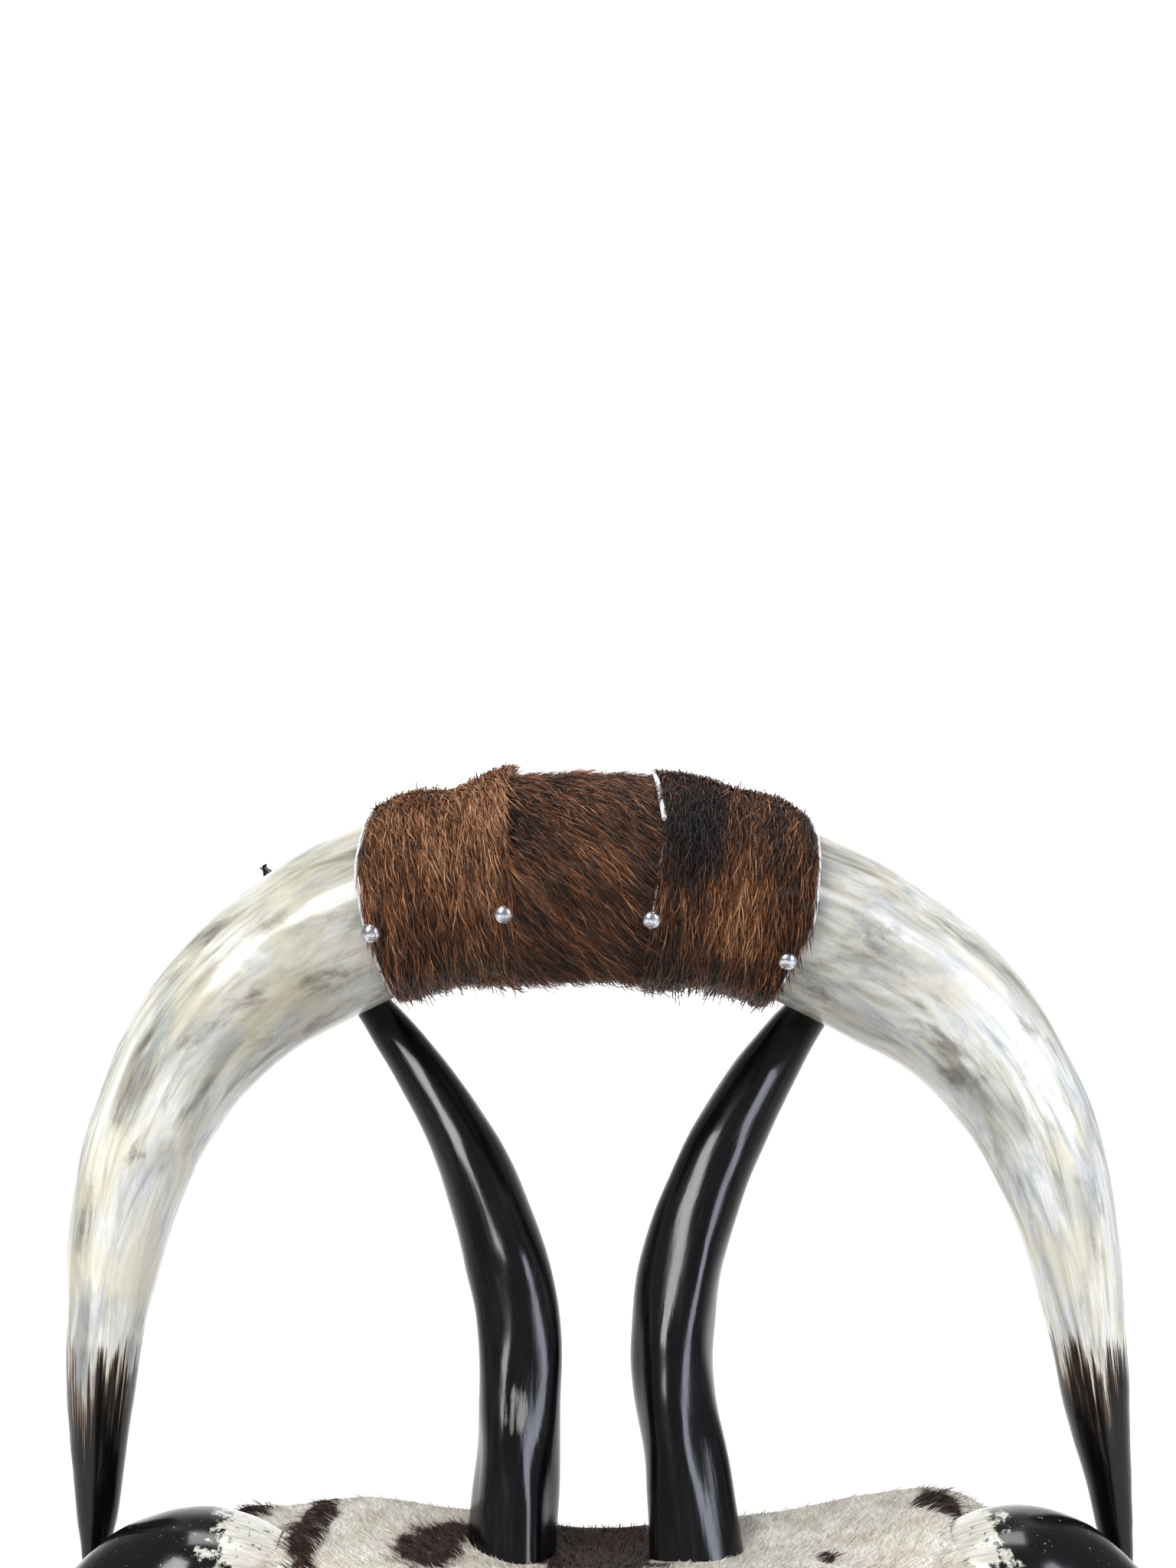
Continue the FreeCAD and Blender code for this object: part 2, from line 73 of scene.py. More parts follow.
RIGHT_SPLAT = [
    (67, 146, 400, 35), (59, 183, 498, 31), (50, 206, 562, 30.6), (54, 232, 622, 31.7),
    (77, 261, 696, 30), (115, 290, 763, 26.3), (163, 318, 826, 18), (204, 332, 868, 10.5),
    (234, 342, 894, 4.4), (236, 343, 896, 1.8),
]
LEG = [
    (226, 125, 447, 50), (272, 125, 452, 52), (308, 127, 446, 51), (340, 130, 426, 48.5),
    (368, 134, 393, 45.5), (388, 140, 348, 42), (401, 150, 285, 37), (404, 164, 215, 31.5),
    (400, 180, 145, 25.5), (393, 196, 75, 20), (386, 211, 0, 15.5),
]
ARCH_AXIS = LEFT_ARCH[4::-1] + [(MID_X, 236, 941.5, 69)] + RIGHT_ARCH[:5]
RAKES = {"front": (-1, 1.1), "rear": (1, 1.8)}
SIDES = {"left": -1, "right": 1}


def place(x, y, z):
    """Millimetres in the CAD's tables to metres in the scene."""
    return Vector((x * MM, (y + SHIFT_Y) * MM, z * MM))


def linear(colour):
    """An sRGB hex colour as linear RGBA."""
    parts = [int(colour[k:k + 2], 16) / 255 for k in (1, 3, 5)]
    return tuple(p / 12.92 if p <= 0.04045 else ((p + 0.055) / 1.055) ** 2.4 for p in parts) + (1.0,)


def feed(tree, node, inputs):
    """Gives a node's inputs their links, colours or values. A node stands for its own first output."""
    for key, value in inputs.items():
        if isinstance(value, bpy.types.Node):
            value = value.outputs[0]
        if isinstance(value, bpy.types.NodeSocket):
            tree.links.new(value, node.inputs[key])
        else:
            node.inputs[key].default_value = linear(value) if isinstance(value, str) else value


def add(tree, kind, inputs=None, stops=None, **settings):
    """Adds a shader node with its settings, ramp stops and inputs."""
    node = tree.nodes.new("ShaderNode" + kind)
    for key, value in settings.items():
        setattr(node, key, value)
    for k, (position, colour) in enumerate(stops or []):
        ramp = node.color_ramp
        element = ramp.elements[k] if k < 2 else ramp.elements.new(position)
        element.position = position
        element.color = linear(colour) if isinstance(colour, str) else (colour, colour, colour, 1)
    feed(tree, node, inputs or {})
    return node


def new_material(name, **finish):
    """A material with one Principled shader, whose even values are given with _ for a space."""
    material = bpy.data.materials.new(name)
    material.use_nodes = True
    tree = material.node_tree
    tree.nodes.clear()
    shader = add(tree, "BsdfPrincipled")
    feed(tree, shader, {key.replace("_", " "): value for key, value in finish.items()})
    add(tree, "OutputMaterial", {"Surface": shader})
    return material, tree, shader


# Materials. Places and distances are in millimetres.

JOINT_DARKER_START, JOINT_DARKER_FULL = 340, 200    # where the horn starts to darken and where it is fully darker, from the arch's middle
TIP_PALE_Z, TIP_DARK_Z = 632, 520      # the height between which the arch's tips turn dark
LEG_CREAM_X, LEG_BLACK_X = 240, 292    # where the legs turn from cream to black, going out
LEG_CREAM_Z, LEG_BLACK_Z = 440, 330    # and going down
REFLECTION_SPOT = (-68, 176, 553)            # a painted reflection, on the front of the left splat's foot
REFLECTION_STRETCH = (1.7, 0.6, 0.8)
REFLECTION_EDGE, REFLECTION_MIDDLE = 34, 10


def grain_noise(tree, source, stretch, width_mm, detail=4.0, distortion=0.0):
    """Streaks that run along a horn: noise squeezed along the first axis of its grain coordinates."""
    along = add(tree, "Mapping", {"Vector": source, "Scale": (stretch, 1.0, 1.0)})
    return add(tree, "TexNoise", {"Vector": along, "Scale": 1 / (width_mm * MM), "Detail": detail,
                                  "Roughness": 0.6, "Distortion": distortion}).outputs["Fac"]


def stain(tree, under, pattern, stops, over):
    """Lays one colour over another where a pattern is high: the stops turn the pattern to a share."""
    share = add(tree, "ValToRGB", {"Fac": pattern}, stops=stops)
    return add(tree, "MixRGB", {"Fac": share, "Color1": under, "Color2": over})


def finish_surface(tree, shader, colour, height, strength, depth_mm, rough=None):
    """Gives a shader its colour, relief from a pattern, and roughness from (pattern, low, high)."""
    relief = add(tree, "Bump", {"Height": height, "Strength": strength, "Distance": depth_mm * MM})
    feed(tree, shader, {"Base Color": colour, "Normal": relief})
    if rough:
        pattern, low, high = rough
        gloss = add(tree, "MapRange", {"Value": pattern, "From Min": 0.3, "From Max": 0.7,
                                       "To Min": low, "To Max": high})
        feed(tree, shader, {"Roughness": gloss})


def pale_horn():
    """Polished cattle horn: cream and grey streaks under a clear gloss, turning dark at the tip."""
    material, tree, shader = new_material("polished_cattle_horn", Roughness=0.2, IOR=1.5, Coat_Weight=0.12,
                                          Coat_Roughness=0.06)
    grain = add(tree, "Attribute", attribute_name="grain").outputs["Vector"]
    spot = add(tree, "TexCoord").outputs["Object"]
    place_xyz = add(tree, "SeparateXYZ", {"Vector": spot}).outputs
    broad = grain_noise(tree, grain, 0.24, 26, 5.0, 0.7)
    fine = grain_noise(tree, grain, 0.06, 4.2, 5.0)
    hair_line = grain_noise(tree, grain, 0.03, 1.4, 2.0)
    cloud = add(tree, "TexNoise", {"Vector": spot, "Scale": 1 / (55 * MM), "Detail": 3.0})
    body = add(tree, "ValToRGB", {"Fac": broad}, stops=[
        (0.30, "#77746c"), (0.38, "#a8a69b"), (0.45, "#cfcec4"), (0.54, "#ecece8"), (0.61, "#d3d7da"),
        (0.70, "#a3a8ac")])
    streak = add(tree, "ValToRGB", {"Fac": fine}, stops=[
        (0.32, "#c6bfae"), (0.45, "#efede7"), (0.60, "#ffffff"), (0.72, "#e4e3e0")])
    streaked = add(tree, "MixRGB", {"Fac": 0.75, "Color1": body, "Color2": streak}, blend_type="MULTIPLY")
    cloudy = stain(tree, streaked, cloud, [(0.46, 0.0), (0.62, 0.55)], "#dbd2b6")
    cool_noise = grain_noise(tree, grain, 0.3, 24, 7.0, 0.5)
    cooled = stain(tree, cloudy, cool_noise, [(0.50, 0.0), (0.64, 0.62)], "#969da2")
    blot_noise = grain_noise(tree, grain, 0.45, 30, 8.0, 0.3)
    blotted = stain(tree, cooled, blot_noise, [(0.58, 0.0), (0.68, 0.75)], "#6f665a")
    # Near the joint, next to the wrap, the horn is made darker and a little warmer.
    side = add(tree, "Math", {0: place_xyz["X"], 1: -MID_X * MM}, operation="ADD")
    away = add(tree, "Math", {0: side}, operation="ABSOLUTE")
    by_joint = add(tree, "MapRange", {"Value": away, "From Min": JOINT_DARKER_START * MM,
                                      "From Max": JOINT_DARKER_FULL * MM})
    joint_darkening = add(tree, "MixRGB", {"Fac": by_joint, "Color1": "#ffffff", "Color2": "#c8c6c1"})
    warm = add(tree, "MixRGB", {"Fac": 0.9, "Color1": blotted, "Color2": joint_darkening}, blend_type="MULTIPLY")
    flecked = stain(tree, warm, hair_line, [(0.70, 0.0), (0.80, 0.5)], "#6a5844")
    # The dark tip: height decides, and the streaks make its edge ragged.
    drop = add(tree, "MapRange", {"Value": place_xyz["Z"], "From Min": TIP_PALE_Z * MM,
                                  "From Max": TIP_DARK_Z * MM})
    ragged = add(tree, "Math", {0: fine, 1: 1.9, 2: -0.95}, operation="MULTIPLY_ADD")
    ragged_wide = add(tree, "Math", {0: broad, 1: 1.4, 2: -0.7}, operation="MULTIPLY_ADD")
    edge = add(tree, "Math", {0: ragged, 1: ragged_wide}, operation="ADD")
    dark = add(tree, "Math", {0: drop, 1: edge}, operation="ADD")
    held = add(tree, "Math", {0: drop, 1: 3.0}, operation="MULTIPLY", use_clamp=True)
    dark_held = add(tree, "Math", {0: dark, 1: held}, operation="MULTIPLY", use_clamp=True)
    tip_mask = add(tree, "ValToRGB", {"Fac": dark_held}, stops=[(0.28, 0.0), (0.40, 0.85), (0.52, 1.0)])
    tip_tone = add(tree, "ValToRGB", {"Fac": dark_held}, stops=[
        (0.38, "#6b5644"), (0.58, "#241a15"), (0.80, "#080707")])
    colour = add(tree, "MixRGB", {"Fac": tip_mask, "Color1": flecked, "Color2": tip_tone})
    shine = add(tree, "MapRange", {"Value": tip_mask, "To Min": 0.5, "To Max": 0.22})
    finish_surface(tree, shader, colour, fine, 0.10, 0.6, (broad, 0.13, 0.27))
    feed(tree, shader, {"Specular IOR Level": shine})
    return material


def black_horn():
    """Polished buffalo horn: near black with a brown depth, fine scuffs and one pale spot of painted
    reflection.
    """
    material, tree, shader = new_material("polished_buffalo_horn", Roughness=0.14, Specular_IOR_Level=0.3,
                                          Coat_Weight=0.12, Coat_Roughness=0.05)
    grain = add(tree, "Attribute", attribute_name="grain").outputs["Vector"]
    spot = add(tree, "TexCoord").outputs["Object"]
    broad = grain_noise(tree, grain, 0.2, 12, 5.0, 0.3)
    fine = grain_noise(tree, grain, 0.05, 1.6, 3.0)
    body = add(tree, "ValToRGB", {"Fac": broad}, stops=[
        (0.35, "#060607"), (0.55, "#0d0c0e"), (0.72, "#1d1a1a")])
    scuffed = stain(tree, body, fine, [(0.68, 0.0), (0.78, 0.22)], "#77757a")
    # A painted reflection: a pale spot on the front of the left splat's foot, fading out with distance.
    reflection_at = [-a * b for a, b in zip(place(*REFLECTION_SPOT), REFLECTION_STRETCH)]
    worn = add(tree, "Mapping", {"Vector": spot, "Location": reflection_at, "Scale": REFLECTION_STRETCH})
    away = add(tree, "VectorMath", {0: worn}, operation="LENGTH")
    patch = add(tree, "MapRange", {"Value": away.outputs["Value"], "From Min": REFLECTION_EDGE * MM,
                                   "From Max": REFLECTION_MIDDLE * MM})
    breakup = add(tree, "Math", {0: broad, 1: 2.2, 2: -1.15}, operation="MULTIPLY_ADD")
    cover = add(tree, "Math", {0: patch, 1: breakup}, operation="ADD")
    colour = stain(tree, scuffed, cover, [(0.75, 0.0), (1.0, 0.55)], "#a9a6a0")
    finish_surface(tree, shader, colour, broad, 0.22, 1.2, (broad, 0.09, 0.24))
    return material


def leg_horn_finish():
    """Polished horn of the legs: cream with black spots at the base, then black with pale flecks."""
    material, tree, shader = new_material("polished_two_tone_horn", Roughness=0.18, Specular_IOR_Level=0.35,
                                          Coat_Weight=0.12, Coat_Roughness=0.06)
    grain = add(tree, "Attribute", attribute_name="grain").outputs["Vector"]
    spot = add(tree, "TexCoord").outputs["Object"]
    place_xyz = add(tree, "SeparateXYZ", {"Vector": spot}).outputs
    broad = grain_noise(tree, grain, 0.5, 14, 6.0, 0.5)
    fine = grain_noise(tree, grain, 0.12, 2.6, 4.0)
    mottle = add(tree, "TexNoise", {"Vector": spot, "Scale": 1 / (7 * MM), "Detail": 5.0, "Roughness": 0.7})
    cream = add(tree, "ValToRGB", {"Fac": fine}, stops=[
        (0.32, "#a5a298"), (0.48, "#bfbcb0"), (0.62, "#cfcdc3")])
    cream_specked = stain(tree, cream, mottle, [(0.60, 0.0), (0.66, 0.9)], "#26221f")
    flecks = add(tree, "TexNoise", {"Vector": spot, "Scale": 1 / (2.4 * MM), "Detail": 2.0,
                                    "Roughness": 0.5})
    black = stain(tree, "#0b0a0b", flecks, [(0.70, 0.0), (0.75, 0.75)], "#a8a59d")
    away = add(tree, "Math", {0: place_xyz["X"]}, operation="ABSOLUTE")
    out = add(tree, "MapRange", {"Value": away, "From Min": LEG_CREAM_X * MM, "From Max": LEG_BLACK_X * MM})
    drop = add(tree, "MapRange", {"Value": place_xyz["Z"], "From Min": LEG_CREAM_Z * MM,
                                  "From Max": LEG_BLACK_Z * MM})
    lower = add(tree, "Math", {0: out, 1: drop}, operation="MAXIMUM")
    ragged = add(tree, "Math", {0: broad, 1: 1.0, 2: -0.5}, operation="MULTIPLY_ADD")
    marbled = add(tree, "Math", {0: mottle, 1: 1.7, 2: ragged}, operation="MULTIPLY_ADD")
    edge = add(tree, "Math", {0: lower, 1: marbled}, operation="ADD")
    half_edge = add(tree, "Math", {0: edge, 1: 0.5}, operation="MULTIPLY")
    colour = stain(tree, cream_specked, half_edge, [(0.66, 0.0), (0.74, 1.0)], black)
    finish_surface(tree, shader, colour, broad, 0.15, 1.0, (broad, 0.10, 0.24))
    return material


def hide_skin():
    """The skin under the brown hair: dark short fur seen between the long hairs."""
    material, tree, shader = new_material("brown_cowhide_skin", Roughness=0.8, Sheen_Weight=0.2)
    spot = add(tree, "TexCoord").outputs["Object"]
    fur = add(tree, "TexNoise", {"Vector": spot, "Scale": 1 / (1.5 * MM), "Detail": 3.0})
    patch = add(tree, "TexNoise", {"Vector": spot, "Scale": 1 / (30 * MM), "Detail": 3.0})
    blend = add(tree, "Math", {0: fur, 1: patch}, operation="MULTIPLY")
    colour = add(tree, "ValToRGB", {"Fac": blend}, stops=[(0.12, "#120a06"), (0.32, "#3a2012")])
    finish_surface(tree, shader, colour, fur, 0.5, 1.0)
    return material


def raw_edge():
    """The cut edge of the hide, pale and fibrous. Its fibres are drawn coarser than real, to show."""
    material, tree, shader = new_material("raw_cut_hide", Roughness=0.75)
    spot = add(tree, "TexCoord").outputs["Object"]
    fibre = add(tree, "TexNoise", {"Vector": spot, "Scale": 1 / (1.2 * MM), "Detail": 4.0})
    colour = add(tree, "ValToRGB", {"Fac": fibre}, stops=[(0.35, "#b9b4b4"), (0.6, "#e9e8ee")])
    finish_surface(tree, shader, colour, fibre, 0.4, 0.4)
    return material


def seat_skin():
    """Short-haired pied cowhide: hair streaks over cream, drawn coarse enough to show, and dark patches,
    one of them partly painted shadow between the splats.
    """
    material, tree, shader = new_material("pied_cowhide", Roughness=0.75, Specular_IOR_Level=0.15)
    spot = add(tree, "TexCoord").outputs["Object"]
    # The dark attribute holds the hide's dark patches and the painted shadow between the splats.
    dark = add(tree, "Attribute", attribute_name="dark").outputs["Fac"]
    laid = add(tree, "Mapping", {"Vector": spot, "Scale": (1.0, 0.14, 1.0)})
    laid_hair = add(tree, "TexNoise", {"Vector": laid, "Scale": 1 / (1.3 * MM), "Detail": 4.0,
                                       "Roughness": 0.7, "Distortion": 0.6})
    wave = add(tree, "TexNoise", {"Vector": spot, "Scale": 1 / (26 * MM), "Detail": 3.0})
    pale = add(tree, "ValToRGB", {"Fac": laid_hair}, stops=[
        (0.30, "#a29a8d"), (0.50, "#cdc8bc"), (0.68, "#ebe8e0")])
    tint = add(tree, "ValToRGB", {"Fac": wave}, stops=[(0.35, "#c9beb2"), (0.6, "#ffffff")])
    pale_tinted = add(tree, "MixRGB", {"Fac": 0.7, "Color1": pale, "Color2": tint}, blend_type="MULTIPLY")
    deep = add(tree, "ValToRGB", {"Fac": laid_hair}, stops=[
        (0.35, "#0c0908"), (0.55, "#2c1812"), (0.72, "#5a3422")])
    fray = add(tree, "Math", {0: laid_hair, 1: 0.9, 2: -0.45}, operation="MULTIPLY_ADD")
    edge = add(tree, "Math", {0: dark, 1: fray}, operation="ADD")
    colour = stain(tree, pale_tinted, edge, [(0.38, 0.0), (0.60, 1.0)], deep)
    finish_surface(tree, shader, colour, laid_hair, 0.45, 0.8)
    return material


def speckled(name, scale_mm, low, high, roughness, stretch=(1.0, 1.0, 1.0), bump=0.2, **finish):
    """A material whose colour and relief come from one noise: wood, cloth, foam or felt."""
    material, tree, shader = new_material(name, Roughness=roughness, **finish)
    spot = add(tree, "TexCoord").outputs["Object"]
    laid = add(tree, "Mapping", {"Vector": spot, "Scale": stretch})
    grain = add(tree, "TexNoise", {"Vector": laid, "Scale": 1 / (scale_mm * MM), "Detail": 5.0,
                                   "Distortion": 0.4})
    colour = add(tree, "ValToRGB", {"Fac": grain}, stops=[(0.35, low), (0.65, high)])
    finish_surface(tree, shader, colour, grain, bump, 0.5)
    return material


def metal(name, low, high, rough_low, rough_high):
    """Steel with a worn, uneven polish."""
    material, tree, shader = new_material(name, Metallic=1.0, Base_Color=high)
    spot = add(tree, "TexCoord").outputs["Object"]
    wear = add(tree, "TexNoise", {"Vector": spot, "Scale": 1 / (2.5 * MM), "Detail": 5.0, "Roughness": 0.7})
    colour = add(tree, "ValToRGB", {"Fac": wear}, stops=[(0.38, low), (0.60, high)])
    rough = add(tree, "MapRange", {"Value": wear, "From Min": 0.35, "From Max": 0.65,
                                   "To Min": rough_high, "To Max": rough_low})
    feed(tree, shader, {"Base Color": colour, "Roughness": rough})
    return material


def hair_shade(name, colour, roughness=0.38, gloss=0.5):
    """One shade of hair. Each hair takes two shades, and the shades vary from hair to hair."""
    return new_material(name, Base_Color=colour, Roughness=roughness, Specular_IOR_Level=gloss)[0]


# Shades of hair from dark to pale: the wrap's brown, and the seat's black and cream.
HAIR_COLOURS = ["#0e0908", "#20130d", "#3a2317", "#58351f", "#784829", "#98613a", "#ba8a62"]
COAT_COLOURS = ["#0f0b0a", "#33211a", "#7d7468", "#b3ac9f", "#d3cec3", "#ebe8e0"]


# Mesh tools.

GRAIN_GIRTH = 50 * MM      # radius of the circle that a tube's girth is laid on in its grain coordinates
MERGE = 0.02 * MM


def only(obj):
    """Selects one object alone and makes it the active one."""
    bpy.ops.object.select_all(action="DESELECT")
    obj.select_set(True)
    bpy.context.view_layer.objects.active = obj


def tube(name, stations, steps=10, sides=16, capped=True):
    """A tapered tube along a smooth curve through stations, with its grain coordinates kept on the mesh."""
    bpy.ops.object.select_all(action="DESELECT")
    bpy.ops.curve.primitive_bezier_curve_add()
    obj = bpy.context.object
    curve = obj.data
    spline = curve.splines[0]
    spline.bezier_points.add(len(stations) - 2)
    for point, (x, y, z, radius) in zip(spline.bezier_points, stations):
        point.co = place(x, y, z)
        point.radius = radius * MM
        point.handle_left_type = point.handle_right_type = "AUTO"
    spline.radius_interpolation = "CARDINAL"
    curve.dimensions = "3D"
    curve.resolution_u = steps
    curve.bevel_depth = 1.0
    curve.bevel_resolution = sides - 2
    curve.use_fill_caps = capped
    length = spline.calc_length()
    bpy.ops.object.convert(target="MESH")
    obj = bpy.context.object
    obj.name = obj.data.name = name
    keep_grain(obj.data, length)
    bpy.ops.object.mode_set(mode="EDIT")
    bpy.ops.mesh.select_all(action="SELECT")
    bpy.ops.mesh.remove_doubles(threshold=MERGE)
    bpy.ops.mesh.normals_make_consistent(inside=False)
    bpy.ops.object.mode_set(mode="OBJECT")
    return obj


def keep_grain(mesh, length):
    """Stores distance along, and a circle round the tube, on each point, so that streaks follow it."""
    corner_vertex = np.empty(len(mesh.loops), dtype=np.int64)
    mesh.loops.foreach_get("vertex_index", corner_vertex)
    uv = np.empty(len(mesh.loops) * 2)
    mesh.uv_layers[0].data.foreach_get("uv", uv)
    uv = uv.reshape(-1, 2)
    quads = np.zeros(len(mesh.loops), dtype=bool)
    for polygon in mesh.polygons:
        if len(polygon.vertices) == 4:
            quads[polygon.loop_start:polygon.loop_start + 4] = True
    grain = np.zeros((len(mesh.vertices), 3))
    turn = uv[quads, 1] * 2 * math.pi
    grain[corner_vertex[quads]] = np.stack(
        [uv[quads, 0] * length, GRAIN_GIRTH * np.cos(turn), GRAIN_GIRTH * np.sin(turn)], 1)
    attribute = mesh.attributes.new("grain", "FLOAT_VECTOR", "POINT")
    attribute.data.foreach_set("vector", grain.ravel())


def coordinates(mesh):
    """The mesh's points as rows of x, y and z in metres."""
    co = np.empty(len(mesh.vertices) * 3)
    mesh.vertices.foreach_get("co", co)
    return co.reshape(-1, 3)


def joined(name, objects):
    """Makes one mesh of several objects and names it."""
    only(objects[0])
    for obj in objects:
        obj.select_set(True)
    bpy.ops.object.join()
    objects[0].name = objects[0].data.name = name
    return objects[0]


def slice_off(obj, at, normal, fill=False):
    """Cuts the object with a plane and drops the side that the normal points to."""
    only(obj)
    bpy.ops.object.mode_set(mode="EDIT")
    bpy.ops.mesh.select_all(action="SELECT")
    bpy.ops.mesh.bisect(plane_co=at, plane_no=normal, use_fill=fill, clear_outer=True)
    bpy.ops.object.mode_set(mode="OBJECT")


def modify(obj, kind, **settings):
    """Adds a modifier and applies it."""
    only(obj)
    modifier = obj.modifiers.new(kind.title(), kind)
    for key, value in settings.items():
        setattr(modifier, key, value)
    bpy.ops.object.modifier_apply(modifier=modifier.name)


def carve(obj, cutter):
    """Takes the cutter's shape out of the object and deletes the cutter."""
    modify(obj, "BOOLEAN", operation="DIFFERENCE", object=cutter, solver="EXACT", use_hole_tolerant=True)
    bpy.data.objects.remove(cutter)


def ripple(obj, size_mm, height_mm, seed):
    """Moves each point along its normal by smooth noise, so that no surface is perfectly turned."""
    mesh = obj.data
    offset = Vector((seed, seed * 0.7, seed * 1.3))
    normals = [v.normal.copy() for v in mesh.vertices]
    for vertex, normal in zip(mesh.vertices, normals):
        vertex.co += normal * (height_mm * MM * noise.noise(vertex.co / (size_mm * MM) + offset))


def smooth_shaded(obj, degrees=50):
    """Shades the object smooth, except at edges sharper than the angle."""
    only(obj)
    bpy.ops.object.shade_smooth_by_angle(angle=math.radians(degrees))


def settle(obj, materials, slot, *nodes):
    """Gives a finished piece its materials, and its place in the frame."""
    for material in materials[len(obj.data.materials):]:
        obj.data.materials.append(material)
    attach(obj, "root")
    if nodes:
        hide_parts(*nodes)


# Horns.

WALL_GROWS = 4.0           # how much thicker a horn's wall gets from one station to the next
HOLLOW_STATIONS = 6
FACET_LENGTH = 0.36        # how far a splat's facets reach up from its foot, in metres along the horn
BROAD_FACET, FINE_FACET = 2.9, 0.9
FACET_TURNS = {"left": 9.0, "right": -8.0}    # how much the facets slant, in radians a metre
PLUG_GAP = 1.6


def hollow(points, wall):
    """The inside of a horn's base, starting a little outside it."""
    inner = [(x, y, z, r - wall - WALL_GROWS * k) for k, (x, y, z, r) in enumerate(points)]
    x0, y0, z0, r0 = inner[0]
    x1, y1, z1, _ = inner[1]
    start = (x0 + (x0 - x1) * 0.2, y0 + (y0 - y1) * 0.2, z0 + (z0 - z1) * 0.2, r0)
    return tube("hollow", [start] + inner, steps=6, sides=12)


def arch_horn(side, points, finish):
    horn = tube(f"{side}_arch_horn_polished", points, steps=12, sides=24)
    ripple(horn, 60, 1.6, 3 + len(side))
    ripple(horn, 18, 0.35, 9 + len(side))
    carve(horn, hollow(points[:HOLLOW_STATIONS], HORN_WALL))
    smooth_shaded(horn)
    settle(horn, [finish], "pale_horn", f"{side}_arch_horn")


def splat_ridges(obj, turns, seed):
    """Flattens a splat's foot into slanting facets, as a buffalo horn's base has, fading upwards."""
    mesh = obj.data
    grain = np.empty(len(mesh.vertices) * 3)
    mesh.attributes["grain"].data.foreach_get("vector", grain)
    grain = grain.reshape(-1, 3)
    normals = [v.normal.copy() for v in mesh.vertices]
    for vertex, normal, (along, across, up) in zip(mesh.vertices, normals, grain):
        turn = math.atan2(up, across)
        fade = max(0.0, 1 - along / FACET_LENGTH)
        wave = math.cos(3 * (turn + along * turns)) * BROAD_FACET
        wave += math.cos(5 * (turn - along * turns * 0.6) + seed) * FINE_FACET
        vertex.co += normal * (wave * fade * MM)


def splat_horn(side, points, finish):
    horn = tube(f"{side}_splat_horn_polished", points, steps=12, sides=24)
    splat_ridges(horn, FACET_TURNS[side], len(side))
    ripple(horn, 40, 1.1, 5 + len(side))
    slice_off(horn, place(0, 0, PAD_Z + 0.2), (0, 0, -1), fill=True)
    smooth_shaded(horn)
    settle(horn, [finish], "black_horn", f"{side}_splat_horn")


# The cover laps up onto each leg's base, which is rounded off: base radii by distance out.
LEG_BASE = {226: 35.0, 272: 49.0}


def cut_at_rail(obj, side, gap=0.0):
    """Drops the part of a leg's shape that lies inside the side rail's outer face."""
    slice_off(obj, place(SIDES[side] * (RAIL_X - gap), 0, 0), (-SIDES[side], 0, 0), fill=True)


def leg_stations(side, end):
    """The stations of one leg: the table's rear right leg mirrored and raked into its corner."""
    way, rake = RAKES[end]
    base = LEG[0][1]
    return [(SIDES[side] * out, way * (base + rake * (along - base)), z, LEG_BASE.get(out, r))
            for out, along, z, r in LEG]


def leg_horn(side, end, finish):
    points = leg_stations(side, end)
    horn = tube(f"{end}_{side}_leg_horn_polished", points, steps=12, sides=24)
    ripple(horn, 55, 2.0, len(side) + 2 * len(end))
    ripple(horn, 16, 0.4, 2 * len(side) + len(end))
    slice_off(horn, place(0, 0, FOOT_Z), (0, 0, -1), fill=True)
    cut_at_rail(horn, side)
    carve(horn, hollow(points[:HOLLOW_STATIONS], LEG_WALL))
    smooth_shaded(horn)
    settle(horn, [finish], "leg_horn", f"{end}_{side}_leg_horn")


def leg_plug(side, end):
    """The turned block inside a leg's base, which the leg's bolts run into."""
    inside = [(x, y, z, r - HORN_WALL - PLUG_GAP - WALL_GROWS * k)
              for k, (x, y, z, r) in enumerate(leg_stations(side, end)[:4])]
    plug = tube("plug", inside, steps=4, sides=12)
    cut_at_rail(plug, side)
    return plug


# The wrap: three strips of hide along the arch's axis, then their hair.

AXIS_X, AXIS_Y, AXIS_Z, _ = zip(*ARCH_AXIS)
ARCH_Y_FIT, ARCH_Z_FIT = np.polyfit(AXIS_X, AXIS_Y, 6), np.polyfit(AXIS_X, AXIS_Z, 6)
BOW_REACH = 28             # how far in from a cut edge its bow still shifts the strip
ON_EDGE = 0.05 * MM
HAIRS = 17500              # a strip, with the guard hairs, which are longer and paler, their paleness partly painted highlight
GUARD_HAIRS = 3200
GUARD_LENGTH, GUARD_HIGHLIGHT_TONE = 1.45, 0.26
# A cow's hair is about 0.1 mm thick. These are drawn thicker, so that they cover the skin and show.
HAIR_LENGTH, HAIR_WIDTH = (13, 27), (0.5, 1.0)
ROOT_DEPTH = 0.4
SHADE_SPREAD = 0.12
WRAP_R = 76 * MM
NAIL_R, NAIL_HEIGHT = 7.5, 0.82
SEAM_X, SEAM_REACH = -20, 70    # the middle of the wrap, where the hair stands higher
X_AXIS = np.array([1.0, 0.0, 0.0])


def arch_at(x):
    """The depth and height of the arch's axis at x, in millimetres."""
    return float(np.polyval(ARCH_Y_FIT, x)), float(np.polyval(ARCH_Z_FIT, x))


def wrap_station(x, radius, rise):
    """A point of a strip's centreline: the arch's axis at x, raised where the padding is thicker on top."""
    y, z = arch_at(x)
    return x, y, z + rise, radius


